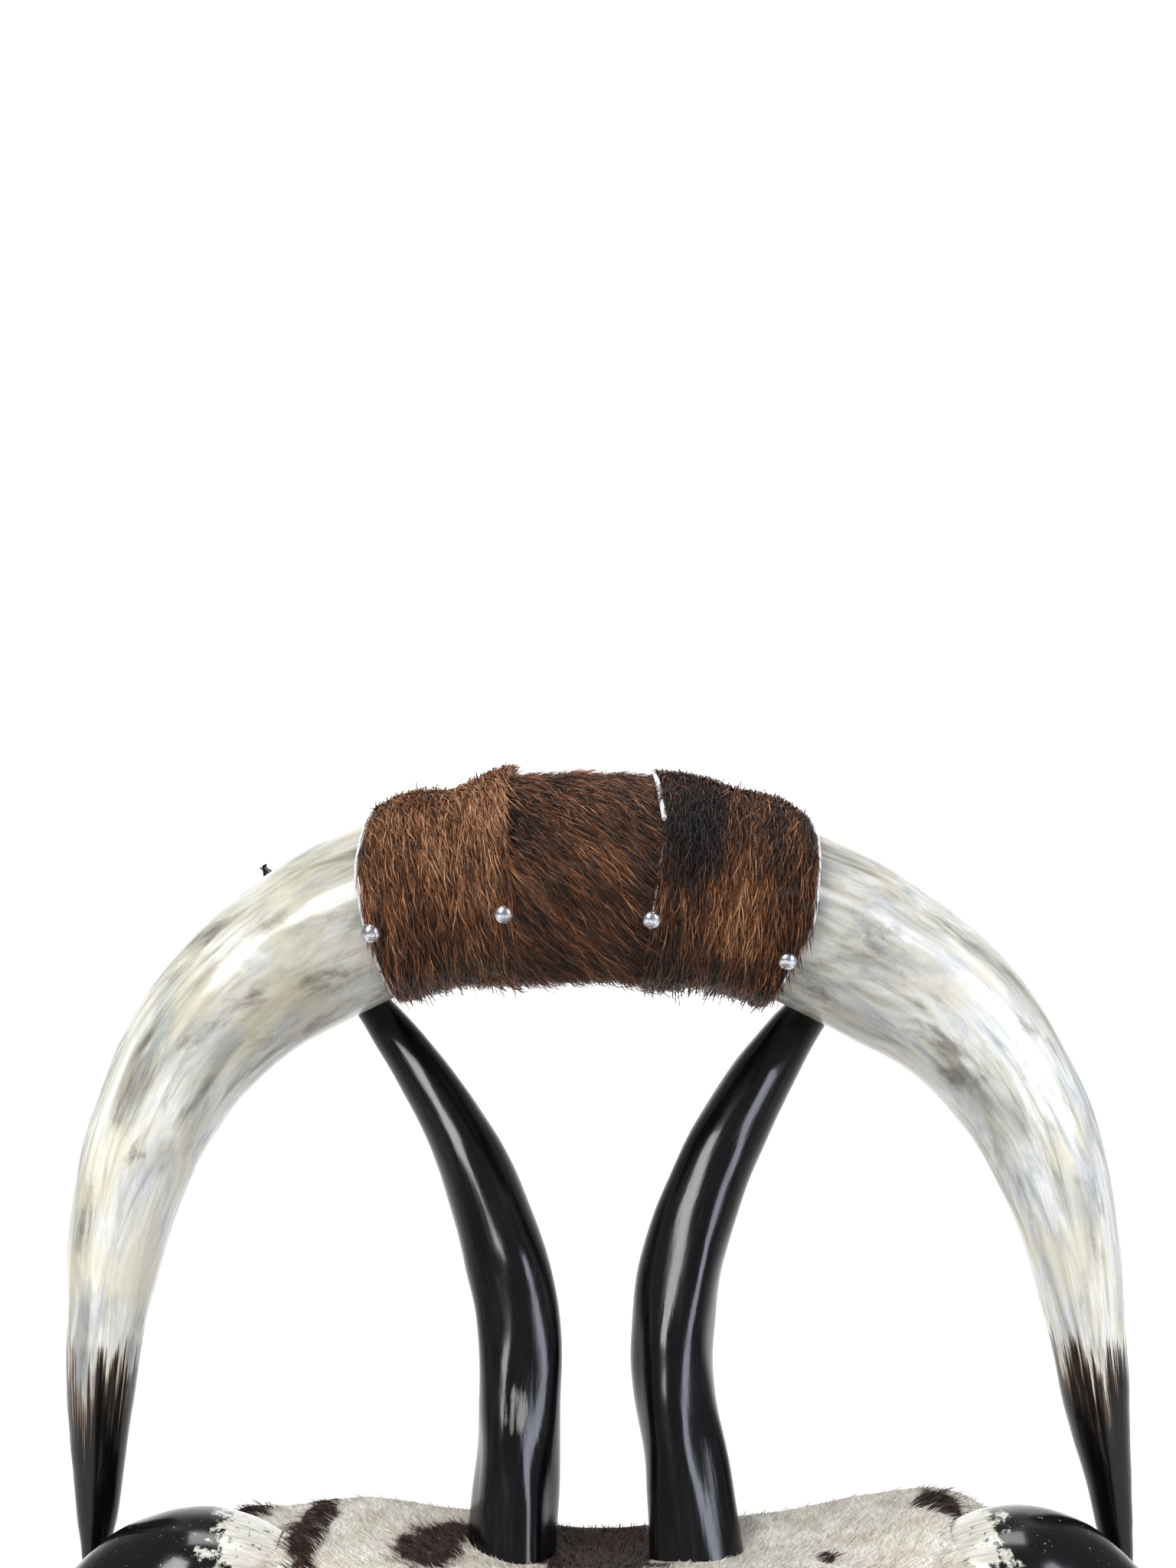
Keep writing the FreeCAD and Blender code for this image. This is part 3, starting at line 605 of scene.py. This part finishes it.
def strip(name, profile, cuts, finishes, node):
    """One strip of hide: a tube along the arch cut by a plane at each end, then given its thickness.

    Also returns random places for its hair, and the line of each cut edge."""
    skin = tube(name, [wrap_station(*row) for row in profile], steps=6, sides=26, capped=False)
    for at, normal, _ in cuts:
        slice_off(skin, place(*at), normal)
    edges = [[v.index for v in skin.data.vertices if abs((v.co - place(*at)).dot(Vector(normal))) < ON_EDGE]
             for at, normal, _ in cuts]
    for at, normal, bow in cuts:
        for vertex in skin.data.vertices:
            share = max(0.0, 1 + (vertex.co - place(*at)).dot(Vector(normal)) / (BOW_REACH * MM))
            vertex.co.x += share * float(np.interp(vertex.co.z / MM, *zip(*bow))) * MM
    ripple(skin, 34, 2.4, len(name))
    lines = [in_turn([skin.data.vertices[k].co.copy() for k in edge]) for edge in edges]
    roots = surface_samples(skin, HAIRS)
    for finish in finishes:
        skin.data.materials.append(finish)
    modify(skin, "SOLIDIFY", thickness=HIDE_THICK * MM, offset=-1.0, use_rim=True, material_offset_rim=1)
    smooth_shaded(skin)
    settle(skin, finishes, "brown_hide", node)
    return roots, lines


def in_turn(points):
    """Points round an edge in order, from the back of the top over the front and round underneath."""
    middle = sum(points, Vector()) / len(points)
    angles = [(math.atan2(middle.y - p.y, p.z - middle.z) + 1.2) % (2 * math.pi) for p in points]
    return [p for _, p in sorted(zip(angles, points), key=lambda pair: pair[0])]


def surface_samples(obj, count):
    """Random points on a mesh, spread evenly by area: (positions, normals)."""
    mesh = obj.data
    mesh.calc_loop_triangles()
    index = np.empty(len(mesh.loop_triangles) * 3, dtype=np.int64)
    mesh.loop_triangles.foreach_get("vertices", index)
    corners = coordinates(mesh)[index.reshape(-1, 3)]
    cross = np.cross(corners[:, 1] - corners[:, 0], corners[:, 2] - corners[:, 0])
    area = np.linalg.norm(cross, axis=1)
    pick = rng.choice(len(area), count, p=area / area.sum())
    a, b = rng.random(count), rng.random(count)
    flip = a + b > 1
    a[flip], b[flip] = 1 - a[flip], 1 - b[flip]
    chosen = corners[pick]
    first, second = chosen[:, 1] - chosen[:, 0], chosen[:, 2] - chosen[:, 0]
    spots = chosen[:, 0] + a[:, None] * first + b[:, None] * second
    return spots, cross[pick] / area[pick][:, None]


def unit_rows(v):
    """Each row scaled to length 1."""
    return v / np.maximum(np.linalg.norm(v, axis=1), 1e-9)[:, None]


def hair(name, roots, normals, flow, length, width, lift, bend, shades, palette, slot):
    """Closed three-sided hairs that lie along flow, each with one shade to its root and one to its tip."""
    count = len(roots)
    flow = unit_rows(flow - normals * np.sum(flow * normals, axis=1)[:, None])
    side = np.cross(flow, normals)
    flow = unit_rows(flow + side * rng.normal(0, 0.16, count)[:, None])
    side = np.cross(flow, normals)
    height = length * lift
    middle = roots + flow * (length * 0.5)[:, None] + normals * (height * 0.75 - bend * 0.25)[:, None]
    sway = side * (rng.normal(0, 0.07, count) * length)[:, None]
    tip = roots + flow * length[:, None] + normals * (height - bend)[:, None] + sway
    base = roots - normals * (ROOT_DEPTH * MM)
    points = np.empty((count, 7, 3))
    for k, (centre, half) in enumerate(((base, width * 0.5), (middle, width * 0.42))):
        points[:, 3 * k] = centre + side * half[:, None]
        points[:, 3 * k + 1] = centre - side * half[:, None]
        points[:, 3 * k + 2] = centre + normals * (half * 1.1)[:, None]
    points[:, 6] = tip
    start = np.arange(count)[:, None] * 7
    walls = np.array([[0, 1, 4, 3], [1, 2, 5, 4], [2, 0, 3, 5]])
    ends = np.array([[3, 4, 6], [4, 5, 6], [5, 3, 6], [2, 1, 0]])
    faces = [start + wall for wall in walls] + [start + end for end in ends]
    face_list = np.concatenate([f.ravel() for f in faces])
    sizes = np.concatenate([np.full(count, f.shape[1]) for f in faces])
    mesh = bpy.data.meshes.new(name)
    mesh.vertices.add(count * 7)
    mesh.vertices.foreach_set("co", points.ravel())
    mesh.loops.add(len(face_list))
    mesh.loops.foreach_set("vertex_index", face_list)
    mesh.polygons.add(len(sizes))
    mesh.polygons.foreach_set("loop_start", np.concatenate([[0], np.cumsum(sizes)[:-1]]))
    root_shade, tip_shade = shades
    shade_of_face = np.concatenate([root_shade] * 3 + [tip_shade] * 3 + [root_shade])
    mesh.polygons.foreach_set("material_index", shade_of_face)
    mesh.update(calc_edges=True)
    mesh.validate()
    obj = bpy.data.objects.new(name, mesh)
    bpy.context.collection.objects.link(obj)
    settle(obj, palette, slot)


def ring_flow(normals, round_share, along_share):
    """Over the top, down the front, and along the arch to the right, in the given shares."""
    return np.cross(X_AXIS, normals) * round_share + X_AXIS * along_share


def streaky(spots, sizes, seed):
    """Smooth noise between -1 and 1 at each spot, longer along some axes than others."""
    scale = Vector([1 / (s * MM) for s in sizes])
    shift = Vector((seed * 3.1, seed * 1.7, seed))
    return np.array([noise.noise(Vector(s) * scale + shift) for s in spots])


def near(spots, x, z, rx, rz):
    """1 at a point of the front view, falling to 0 at an ellipse round it."""
    reach = np.hypot((spots[:, 0] / MM - x) / rx, (spots[:, 2] / MM - z) / rz)
    return np.clip(1 - reach, 0, 1)


def pick_shades(tone, spread, top):
    """Two shade numbers a hair from a tone between 0 and 1: the tip is a step lighter than the root."""
    level = np.clip(tone + rng.normal(0, spread, len(tone)), 0, 1) * (top - 1)
    root = np.clip(np.floor(level), 0, top - 1).astype(np.int32)
    tip = np.clip(root + rng.integers(0, 2, len(tone)), 0, top - 1).astype(np.int32)
    return root, tip


def coat(name, roots, normals, flow, tone):
    """The long hair of one strip."""
    count = len(roots)
    length = rng.uniform(*HAIR_LENGTH, count) * MM
    width = rng.uniform(*HAIR_WIDTH, count) * MM
    guard = np.arange(count) > count - GUARD_HAIRS
    length = np.where(guard, length * GUARD_LENGTH, length)
    # The guard hairs are paler: partly lighter hair, partly painted highlight.
    tone = np.where(guard, tone + GUARD_HIGHLIGHT_TONE, tone)
    flat = unit_rows(flow)
    share = 1 - flat[:, 0] ** 2
    bend = length ** 2 / (2 * WRAP_R) * share
    hanging = np.clip(-normals[:, 2] - 0.55, 0, 1)
    lift = np.abs(rng.normal(0.13, 0.07, count)) + hanging * rng.random(count) ** 6 * 1.1
    shades = pick_shades(tone, SHADE_SPREAD, len(HAIR_COLOURS))
    hair(name, roots, normals, flow, length, width, lift, bend, shades, hair_palette, "brown_hide")


# The tone of each strip's hair from 0, dark, to 1, pale: streaks, and darker or paler places.

def left_tone(s):
    tone = 0.42 + 0.30 * streaky(s, (9, 30, 34), 1) + 0.20 * streaky(s, (4, 20, 18), 2)
    high = np.clip((s[:, 2] / MM - 880) / 110, 0, 1)
    return tone + 0.24 * high + 0.04 + 0.16 * near(s, -95, 985, 34, 60)


def centre_tone(s):
    slanted = s.copy()
    slanted[:, 0] = s[:, 0] + s[:, 2] * 0.75
    tone = 0.40 + 0.30 * streaky(slanted, (7, 24, 60), 3) + 0.16 * streaky(slanted, (3.5, 20, 30), 4)
    return tone - 0.30 * near(s, 34, 925, 32, 75) + 0.10 * near(s, -30, 965, 60, 50)


def right_tone(s):
    tone = 0.38 + 0.26 * streaky(s, (8, 26, 30), 5) + 0.14 * streaky(s, (4, 18, 16), 6)
    tone = tone - 0.62 * near(s, 64, 992, 34, 54) + 0.52 * near(s, 98, 922, 36, 66)
    return tone + 0.1 * near(s, 60, 930, 18, 50)


def bead(name, line, radius, first=0.0, last=1.0):
    """A thin line of raw hide along a cut edge of a strip, in millimetres of radius."""
    count = len(line)
    picked = line[int(first * count):int(last * count):3]
    stations = [(p.x / MM, p.y / MM - SHIFT_Y, p.z / MM, radius * (0.8 + 0.4 * noise.noise(p * 60)))
                for p in picked]
    edge = tube(name, stations, steps=3, sides=5)
    smooth_shaded(edge)
    settle(edge, [raw], "brown_hide")


def wrap_nail(x, z, back=False):
    """A domed nail head standing on the hair of the wrap, at a place seen from the front or the back."""
    axis_y, axis_z = arch_at(x)
    radius = 79.5 if abs(x - SEAM_X) < SEAM_REACH else 76.0
    up = (z - axis_z - 3) / radius
    out = math.sqrt(1 - up * up) * (1 if back else -1)
    normal = Vector((0, out, up))
    bpy.ops.object.select_all(action="DESELECT")
    bpy.ops.mesh.primitive_uv_sphere_add(segments=28, ring_count=16, radius=NAIL_R * MM)
    head = bpy.context.object
    head.scale = (1, 1, NAIL_HEIGHT)
    head.rotation_euler = normal.to_track_quat("Z", "Y").to_euler()
    head.location = place(x, axis_y + out * (radius + 1.0), z)
    bpy.ops.object.transform_apply(location=True, rotation=True, scale=True)
    ripple(head, 3, 0.25, abs(x))
    return head


def nail_row(name, places, finish, node, back=False):
    """The nails along one side of the wrap, as one piece."""
    heads = [wrap_nail(x, z, back) for x, z in places]
    nails = joined(name, heads)
    smooth_shaded(nails, 80)
    settle(nails, [finish], "nail_steel", node)


# The seat's cover and foam.

TINY = 1e-6
SEAT_HALF_FRONT = 280.0
SEAT_HALF_REAR = 290.0
SEAT_HALF_DEPTH = 232.0
CORNER_R = 64.0
EDGE_R = 17.0
CROWN = 9                  # how much the top falls from the middle to each edge
REAR_BLEND = (40, 190)     # where the crown gives way to the rear edge's profile
LAP_AT, LAP_SIZE = (226, 127), (26, 44)    # the hide's swelling over each leg
LAP_HEIGHT = {"front": 16, "rear": 14}
# How the folded grid is shared out, from its middle at 0 to its border at 1.
TOP_SHARE, ROLL_SHARE = 0.80, 0.09
WALL_FROM, WALL_SHARE = 0.89, 0.065
HEM_FROM, HEM_SHARE = 0.955, 0.045
NOTCH_GAP = {"cover": 0.8, "foam": 1.4}
SPLAT_TIGHTER = 1.4        # the splats press into the seat, so their notches are smaller by this
SEAT_SPOTS, SEAT_HAIRS = 60000, 19000
SEAT_HAIR_LENGTH, SEAT_HAIR_WIDTH = (9, 17), (0.35, 0.7)    # thicker than real hair, as on the wrap
# The height of the hide along the rear edge: (x, z).
REAR_PROFILE = [
    (-300, 472), (-270, 476), (-240, 466), (-205, 473), (-150, 470), (-106, 465), (-60, 455), (-14, 450),
    (30, 452), (89, 458), (150, 465), (210, 477), (248, 486), (272, 484), (300, 476),
]
# Dark patches of the hide, on the seat, one of them partly painted shadow between the splats: (x, y, half
# width, half depth, darkness).
DARK_PATCHES_AND_SHADOW = [
    (-212, 165, 13, 90, 1.0), (-126, 138, 26, 44, 0.9), (-110, 176, 20, 22, 0.8), (241, 176, 15, 34, 1.2),
    # The patch at (-8, 175) lies between the splats: partly the hide's own dark patch, partly painted
    # shadow.
    (153, 122, 6, 16, 1.0), (-8, 175, 52, 78, 1.0), (-272, 196, 26, 40, 0.8), (120, -60, 92, 62, 1.1),
    (-120, -70, 60, 96, 1.0), (20, -205, 110, 44, 1.0), (-250, -150, 40, 60, 1.0), (252, -160, 36, 70, 0.9),
    (40, 60, 30, 22, 0.8), (268, 30, 26, 40, 0.9), (-276, 20, 22, 46, 0.9),
]


def smoothstep(low, high, value):
    """0 up to low, 1 from high, and smooth between."""
    t = np.clip((value - low) / (high - low), 0, 1)
    return t * t * (3 - 2 * t)


def seat_height(x, y):
    """The top of the seat in millimetres: a low crown, with humps and a dip along the rear edge."""
    crown = SEAT_TOP_Z - 2 - CROWN * (x / SEAT_HALF_REAR) ** 2 - CROWN * (y / SEAT_HALF_DEPTH) ** 2
    xs, zs = zip(*REAR_PROFILE)
    rear = (np.interp(x - 12, xs, zs) + np.interp(x, xs, zs) * 2 + np.interp(x + 12, xs, zs)) / 4
    share = smoothstep(*REAR_BLEND, y)
    lap_x, lap_y = (np.abs(x) - LAP_AT[0]) / LAP_SIZE[0], (np.abs(y) - LAP_AT[1]) / LAP_SIZE[1]
    lap = np.exp(-lap_x ** 2 - lap_y ** 2) * np.where(y > 0, LAP_HEIGHT["rear"], LAP_HEIGHT["front"])
    return crown * (1 - share) + rear * share + lap


def seat_shell(name, inset, low, back_under):
    """A grid folded over the seat's outline: its top and sides, with a hem turned back under."""
    bpy.ops.object.select_all(action="DESELECT")
    bpy.ops.mesh.primitive_grid_add(x_subdivisions=150, y_subdivisions=130, size=2)
    obj = bpy.context.object
    obj.name = obj.data.name = name
    mesh = obj.data
    u, v = coordinates(mesh)[:, :2].T
    ring = np.maximum(np.maximum(np.abs(u), np.abs(v)), TINY)
    half_y = SEAT_HALF_DEPTH - inset
    edge_y = v / ring * half_y
    mean, spread = (SEAT_HALF_FRONT + SEAT_HALF_REAR) / 2, (SEAT_HALF_REAR - SEAT_HALF_FRONT) / 2
    half_x = mean + spread * (edge_y / half_y) - inset
    edge_x = u / ring * half_x
    r = CORNER_R - inset
    over_x, over_y = np.abs(edge_x) - (half_x - r), np.abs(edge_y) - (half_y - r)
    corner = (over_x > 0) & (over_y > 0)
    reach = np.maximum(np.hypot(over_x, over_y), TINY)
    edge_x = np.where(corner, np.sign(edge_x) * (half_x - r + over_x / reach * r), edge_x)
    edge_y = np.where(corner, np.sign(edge_y) * (half_y - r + over_y / reach * r), edge_y)
    edge_len = np.maximum(np.hypot(edge_x, edge_y), TINY)
    turn = np.clip((ring - TOP_SHARE) / ROLL_SHARE, 0, 1) * math.pi / 2
    pull_in = np.where(ring < TOP_SHARE, (1 - ring / TOP_SHARE) * (edge_len - EDGE_R) + EDGE_R,
                       EDGE_R * (1 - np.sin(turn)))
    hem = np.clip((ring - HEM_FROM) / HEM_SHARE, 0, 1) * back_under
    share = (edge_len - pull_in - hem) / edge_len
    x, y = edge_x * share, edge_y * share
    top = seat_height(x, y) - inset - np.where(ring < TOP_SHARE, 0, EDGE_R * (1 - np.cos(turn)))
    down = np.clip((ring - WALL_FROM) / WALL_SHARE, 0, 1)
    z = top + (low - top) * down
    mesh.vertices.foreach_set("co", np.stack([x * MM, (y + SHIFT_Y) * MM, z * MM], 1).ravel())
    mesh.update()
    return obj


def darkness(x, y):
    """How dark the hide is at a place on the seat, with uneven edges, the painted shadow between the splats
    included.
    """
    value = np.zeros(len(x))
    for px, py, rx, ry, depth in DARK_PATCHES_AND_SHADOW:
        wobble = np.array([noise.noise(Vector((a / 17, b / 17, px))) for a, b in zip(x, y)])
        reach = np.hypot((x - px) / rx, (y - py) / ry) + 0.45 * wobble
        value = np.maximum(value, depth * np.clip(1.5 - reach, 0, 1))
    return value


def keep_darkness(obj):
    """Stores the hide's darkness, with the painted shadow between the splats, on each point of the seat's
    cover.
    """
    co = coordinates(obj.data) / MM
    attribute = obj.data.attributes.new("dark", "FLOAT", "POINT")
    attribute.data.foreach_set("value", darkness(co[:, 0], co[:, 1] - SHIFT_Y))


def seat_notches(obj, gap):
    """Cuts the seat away round the legs and the splats."""
    for end in RAKES:
        for side in SIDES:
            points = [(x, y, z, r + gap) for x, y, z, r in leg_stations(side, end)[:7]]
            notch = tube("notch", points, steps=6, sides=14)
            cut_at_rail(notch, side, 0.6)
            carve(obj, notch)
    for points in (LEFT_SPLAT, RIGHT_SPLAT):
        stations = [(x, y, z, r + gap - SPLAT_TIGHTER) for x, y, z, r in points[:4]]
        carve(obj, tube("notch", stations, steps=6, sides=14))


def make_seat():
    """The hide cover and the foam under it. Returns the cover, which the hair is put on."""
    cover = seat_shell("cowhide_seat_cover", 0.0, BOARD_Z - HIDE_THICK, 26)
    ripple(cover, 70, 3.0, 4)
    ripple(cover, 22, 0.8, 6)
    modify(cover, "SOLIDIFY", thickness=(HIDE_THICK - 0.4) * MM, offset=-1.0, use_rim=True)
    seat_notches(cover, NOTCH_GAP["cover"])
    keep_darkness(cover)
    smooth_shaded(cover)
    settle(cover, [seat_skin()], "seat_hide", "seat_hide")
    foam = seat_shell("seat_foam", 4.6, PAD_Z - 8, 0)
    ripple(foam, 50, 0.6, 8)
    slice_off(foam, place(0, 0, PAD_Z + 0.3), (0, 0, -1), fill=True)
    seat_notches(foam, NOTCH_GAP["foam"])
    smooth_shaded(foam)
    open_cell_foam = speckled("open_cell_foam", 2.0, "#c9bc7a", "#e2d9a4", 0.9, bump=0.6)
    settle(foam, [open_cell_foam], "foam", "seat_pad")
    return cover


def make_seat_hair(cover):
    """Short hair over the seat's top and edges, laid towards the rear and outwards."""
    roots, normals = surface_samples(cover, SEAT_SPOTS)
    z = roots[:, 2] / MM
    y = roots[:, 1] / MM - SHIFT_Y
    keep = (z > 440) & (normals[:, 2] > -0.1) & (np.abs(y) < 250)
    top = seat_height(roots[:, 0] / MM, y)
    side_wall = normals[:, 2] < 0.5
    keep &= (z > top - 5) | side_wall
    roots, normals = roots[keep][:SEAT_HAIRS], normals[keep][:SEAT_HAIRS]
    count = len(roots)
    rearward = (roots[:, 1] - SHIFT_Y * MM) * 0.6 + 0.12
    outward = np.stack([roots[:, 0] * 1.2, rearward, np.full(count, -0.05)], 1)
    length = rng.uniform(*SEAT_HAIR_LENGTH, count) * MM
    dark = darkness(roots[:, 0] / MM, roots[:, 1] / MM - SHIFT_Y)
    # The hair is dark where the hide is dark, and in the painted shadow between the splats.
    tone = np.where(dark > 0.5, 0.12, 0.94 - 0.5 * dark)
    width = rng.uniform(*SEAT_HAIR_WIDTH, count) * MM
    lift = np.abs(rng.normal(0.06, 0.04, count))
    shades = pick_shades(tone, SHADE_SPREAD, len(COAT_COLOURS))
    hair("cowhide_seat_hair", roots, normals, outward, length, width, lift, np.zeros(count), shades,
         coat_palette, "seat_hide")


# Stage, in metres.

FLOOR_FRONT, FLOOR_HALF = -6.0, 9.0
WALL_Y, WALL_TOP = 6.0, 9.0
COVE_R, COVE_STEPS = 2.0, 12
SENSOR = 36.0


def make_stage():
    """A pale floor that curves up into a backdrop."""
    profile = [(FLOOR_FRONT, 0.0)]
    for k in range(COVE_STEPS + 1):
        a = math.radians(90 * k / COVE_STEPS)
        profile.append((WALL_Y - COVE_R + COVE_R * math.sin(a), COVE_R - COVE_R * math.cos(a)))
    profile.append((WALL_Y, WALL_TOP))
    vertices = [(x, y, z) for y, z in profile for x in (-FLOOR_HALF, FLOOR_HALF)]
    faces = [(2 * k, 2 * k + 1, 2 * k + 3, 2 * k + 2) for k in range(len(profile) - 1)]
    bpy.ops.object.select_all(action="DESELECT")
    bpy.ops.mesh.primitive_plane_add(size=1, location=(0, 0, 0))
    floor = bpy.context.object
    floor.name = "pale_floor"
    floor.data.clear_geometry()
    floor.data.from_pydata(vertices, [], faces)
    smooth_shaded(floor, 40)
    floor.data.materials.append(new_material("matt_white_paint", Roughness=0.9, Base_Color="#f6f6f6")[0])


def area_light(name, at, towards, size, power, tint="#ffffff"):
    """A rectangular softbox at a place, pointed at another."""
    light = bpy.data.lights.new(name, "AREA")
    light.shape = "RECTANGLE"
    light.size, light.size_y = size
    light.energy = power
    light.color = linear(tint)[:3]
    lamp = bpy.data.objects.new(name, light)
    lamp.location = at
    lamp.rotation_euler = (Vector(towards) - Vector(at)).to_track_quat("-Z", "Y").to_euler()
    bpy.context.collection.objects.link(lamp)


def make_light_and_camera():
    scene = bpy.context.scene
    scene.view_settings.view_transform = "Standard"
    world = bpy.data.worlds.new("studio")
    world.use_nodes = True
    background = world.node_tree.nodes["Background"]
    background.inputs["Color"].default_value = linear("#eef1f6")
    background.inputs["Strength"].default_value = 0.34
    scene.world = world
    chest = (0, 0, 0.7)
    area_light("key_softbox", (-1.5, -2.0, 2.6), chest, (1.2, 1.6), 84, "#ffffff")
    area_light("fill_softbox", (2.1, -1.6, 1.7), chest, (0.8, 1.8), 44, "#e8eeff")
    area_light("top_softbox", (0.0, 0.3, 3.2), chest, (1.8, 1.2), 52)
    area_light("backdrop_wash", (0.0, 2.6, 3.6), (0, 5.4, 1.4), (4.0, 1.5), 220)
    lens = bpy.data.cameras.new("camera")
    lens.lens = LENS
    lens.sensor_width = SENSOR
    camera = bpy.data.objects.new("camera", lens)
    camera.location = place(MID_X, CAMERA_Y, CAMERA_Z)
    camera.rotation_euler = (math.pi / 2, 0, 0)
    bpy.context.collection.objects.link(camera)
    scene.camera = camera


# The build.

make_light_and_camera()
make_stage()

hair_palette = [hair_shade(f"cow_hair_brown_{k}", c) for k, c in enumerate(HAIR_COLOURS)]
coat_palette = [hair_shade(f"cow_hair_pied_{k}", c, 0.6, 0.15) for k, c in enumerate(COAT_COLOURS)]
skin, raw = hide_skin(), raw_edge()

horn_finish, black_finish, leg_finish = pale_horn(), black_horn(), leg_horn_finish()
for side, points in (("left", LEFT_ARCH), ("right", RIGHT_ARCH)):
    arch_horn(side, points, horn_finish)
for side, points in (("left", LEFT_SPLAT), ("right", RIGHT_SPLAT)):
    splat_horn(side, points, black_finish)
for end in RAKES:
    for side in SIDES:
        leg_horn(side, end, leg_finish)

# Each cut is a place, a normal, and how far its edge bows sideways by height.
LEFT_CUT = ((-181, 262, 949), (-0.985, 0, -0.17),
            [(845, 6), (852, 4), (907, -3), (952, -3.5), (984, 7), (1005, 18), (1012, 22)])
RIGHT_CUT = ((158, 262, 949), (0.965, 0, -0.26),
             [(845, -9), (852, -7), (912, 3), (952, -3), (977, -8.5), (1000, -20), (1008, -24)])
LEFT_SEAM = ((-70, 240, 940), (1, 0, 0), [(900, 2), (960, 0), (1020, -3)])
RIGHT_SEAM = ((43, 240, 940), (-1, 0, 0),
              [(895, -13), (914, -11), (937, -7), (970, -2), (998, 3), (1022, -5)])
CENTRE_CUTS = [
    ((-84, 240, 940), (-1, 0, 0), [(900, 0), (1000, 0)]),
    ((48, 240, 940), (1, 0, 0), [(900, -8), (1000, 0)]),
]

# The strips and the padding along the arch: (x, radius, how far above the arch's axis).
LEFT_STRIP = [
    (-230, 68.5, 0), (-205, 69.0, 0), (-186, 70.2, 1), (-176, 71.8, 2), (-164, 73.6, 3), (-150, 74.4, 4),
    (-137, 74.2, 4), (-119, 73.0, 2), (-101, 73.0, 1), (-86, 76.0, 2), (-71, 79.6, 3), (-62, 80.0, 3),
]
CENTRE_STRIP = [
    (-96, 75.4, 0), (-70, 75.8, 0), (-40, 76.0, 0), (-10, 76.0, 0), (20, 76.0, 0), (45, 76.2, 1),
    (60, 76.4, 2),
]
RIGHT_STRIP = [
    (30, 78.6, 3), (42, 79.6, 3), (52, 79.4, 3), (62, 77.6, 3), (80, 75.0, 3), (104, 75.6, 4),
    (128, 75.0, 4), (146, 73.6, 3), (160, 71.4, 1), (175, 70.0, 0), (200, 69.4, 0), (212, 69.0, 0),
]
PADDING = [
    (-150, 70.6, 2), (-119, 69.4, 1), (-101, 69.4, 0), (-60, 71.6, 0), (-14, 72.0, 0), (40, 72.2, 0),
    (80, 71.2, 1), (104, 71.4, 2), (130, 70.6, 2),
]
# How far each edge's bead stands off its cut, in metres: outwards, and to the front.
RIM_OFF = Vector((0.0014, -0.001, 0))
SEAM_OFF = Vector((-0.0022, -0.002, 0))

spots, edges = strip("left_hide_strip", LEFT_STRIP, [LEFT_CUT, LEFT_SEAM], [skin, raw], "left_hide_wrap")
coat("left_strip_hair", *spots, ring_flow(spots[1], 1.0, 0.22), left_tone(spots[0]))
bead("left_rim_raw_edge", [p + RIM_OFF * Vector((-1, 1, 1)) for p in edges[0]], 1.2)
spots, _ = strip("centre_hide_strip", CENTRE_STRIP, CENTRE_CUTS, [skin, raw], "centre_hide_wrap")
coat("centre_strip_hair", *spots, ring_flow(spots[1], 0.75, 0.75), centre_tone(spots[0]))
spots, edges = strip("right_hide_strip", RIGHT_STRIP, [RIGHT_CUT, RIGHT_SEAM], [skin, raw],
                     "right_hide_wrap")
coat("right_strip_hair", *spots, ring_flow(spots[1], 1.0, -0.12), right_tone(spots[0]))
bead("right_rim_raw_edge", [p + RIM_OFF for p in edges[0]], 1.2)
bead("seam_raw_edge", [p + SEAM_OFF for p in edges[1]], 2.1, 0.14, 0.36)
bead("seam_raw_edge_low", edges[1], 1.0, 0.35, 0.52)

felt = speckled("wool_felt", 1.6, "#6f6555", "#9a8f7c", 0.95, bump=0.6)
padding = tube("felt_padding", [wrap_station(*row) for row in PADDING], steps=4, sides=16, capped=False)
modify(padding, "SOLIDIFY", thickness=1.2 * MM, offset=-1.0, use_rim=True)
smooth_shaded(padding)
settle(padding, [felt], "felt", "wrap_padding")

dome = metal("nickel_plated_nail", "#a9aaae", "#dcdee3", 0.2, 0.32)
nail_row("front_wrap_nails", [(-173, 903), (-75, 918), (32, 914), (133, 882)], dome, "wrap_nails_front")
nail_row("rear_wrap_nails", [(-166, 900), (-75, 916), (32, 914), (136, 888)], dome, "wrap_nails_rear",
         back=True)

seat_cover = make_seat()
make_seat_hair(seat_cover)

steel = metal("zinc_plated_steel", "#8f9092", "#c9cbce", 0.28, 0.45)
beech = speckled("turned_beech", 2.2, "#a9784a", "#c99a68", 0.55, (1.0, 1.0, 0.12))
plugs = joined("leg_base_plugs", [leg_plug(side, end) for end in RAKES for side in SIDES])
smooth_shaded(plugs)
settle(plugs, [beech], "beech", "leg_plugs")
# The CAD's own nodes that show as they are, by finish.
CARRIED = {
    steel: ["core_screws", "arch_tip_screws", "splat_tip_screws", "splat_bolts", "splat_washers",
            "leg_bolts", "leg_washers", "board_screws", "hide_tacks", "rail_screws"],
    beech: ["arch_core", "splat_plugs", "corner_blocks"],
    speckled("black_felt", 1.2, "#14120f", "#2c2823", 0.95, bump=0.6): ["foot_pads"],
    speckled("birch_plywood", 2.5, "#b08c58", "#d3b17c", 0.6, (0.1, 1.0, 1.0)): ["seat_board"],
    speckled("stained_hardwood", 1.8, "#1c110b", "#3a2416", 0.38, (0.1, 0.1, 1.0)):
        ["left_rail", "right_rail", "front_rail", "rear_rail"],
    speckled("black_cambric", 0.9, "#0b0b0b", "#1d1d1d", 0.9, bump=0.5): ["dust_cover"],
}
for finish, names in CARRIED.items():
    for node in names:
        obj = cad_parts[node]
        obj.data.materials.clear()
        obj.data.materials.append(finish)
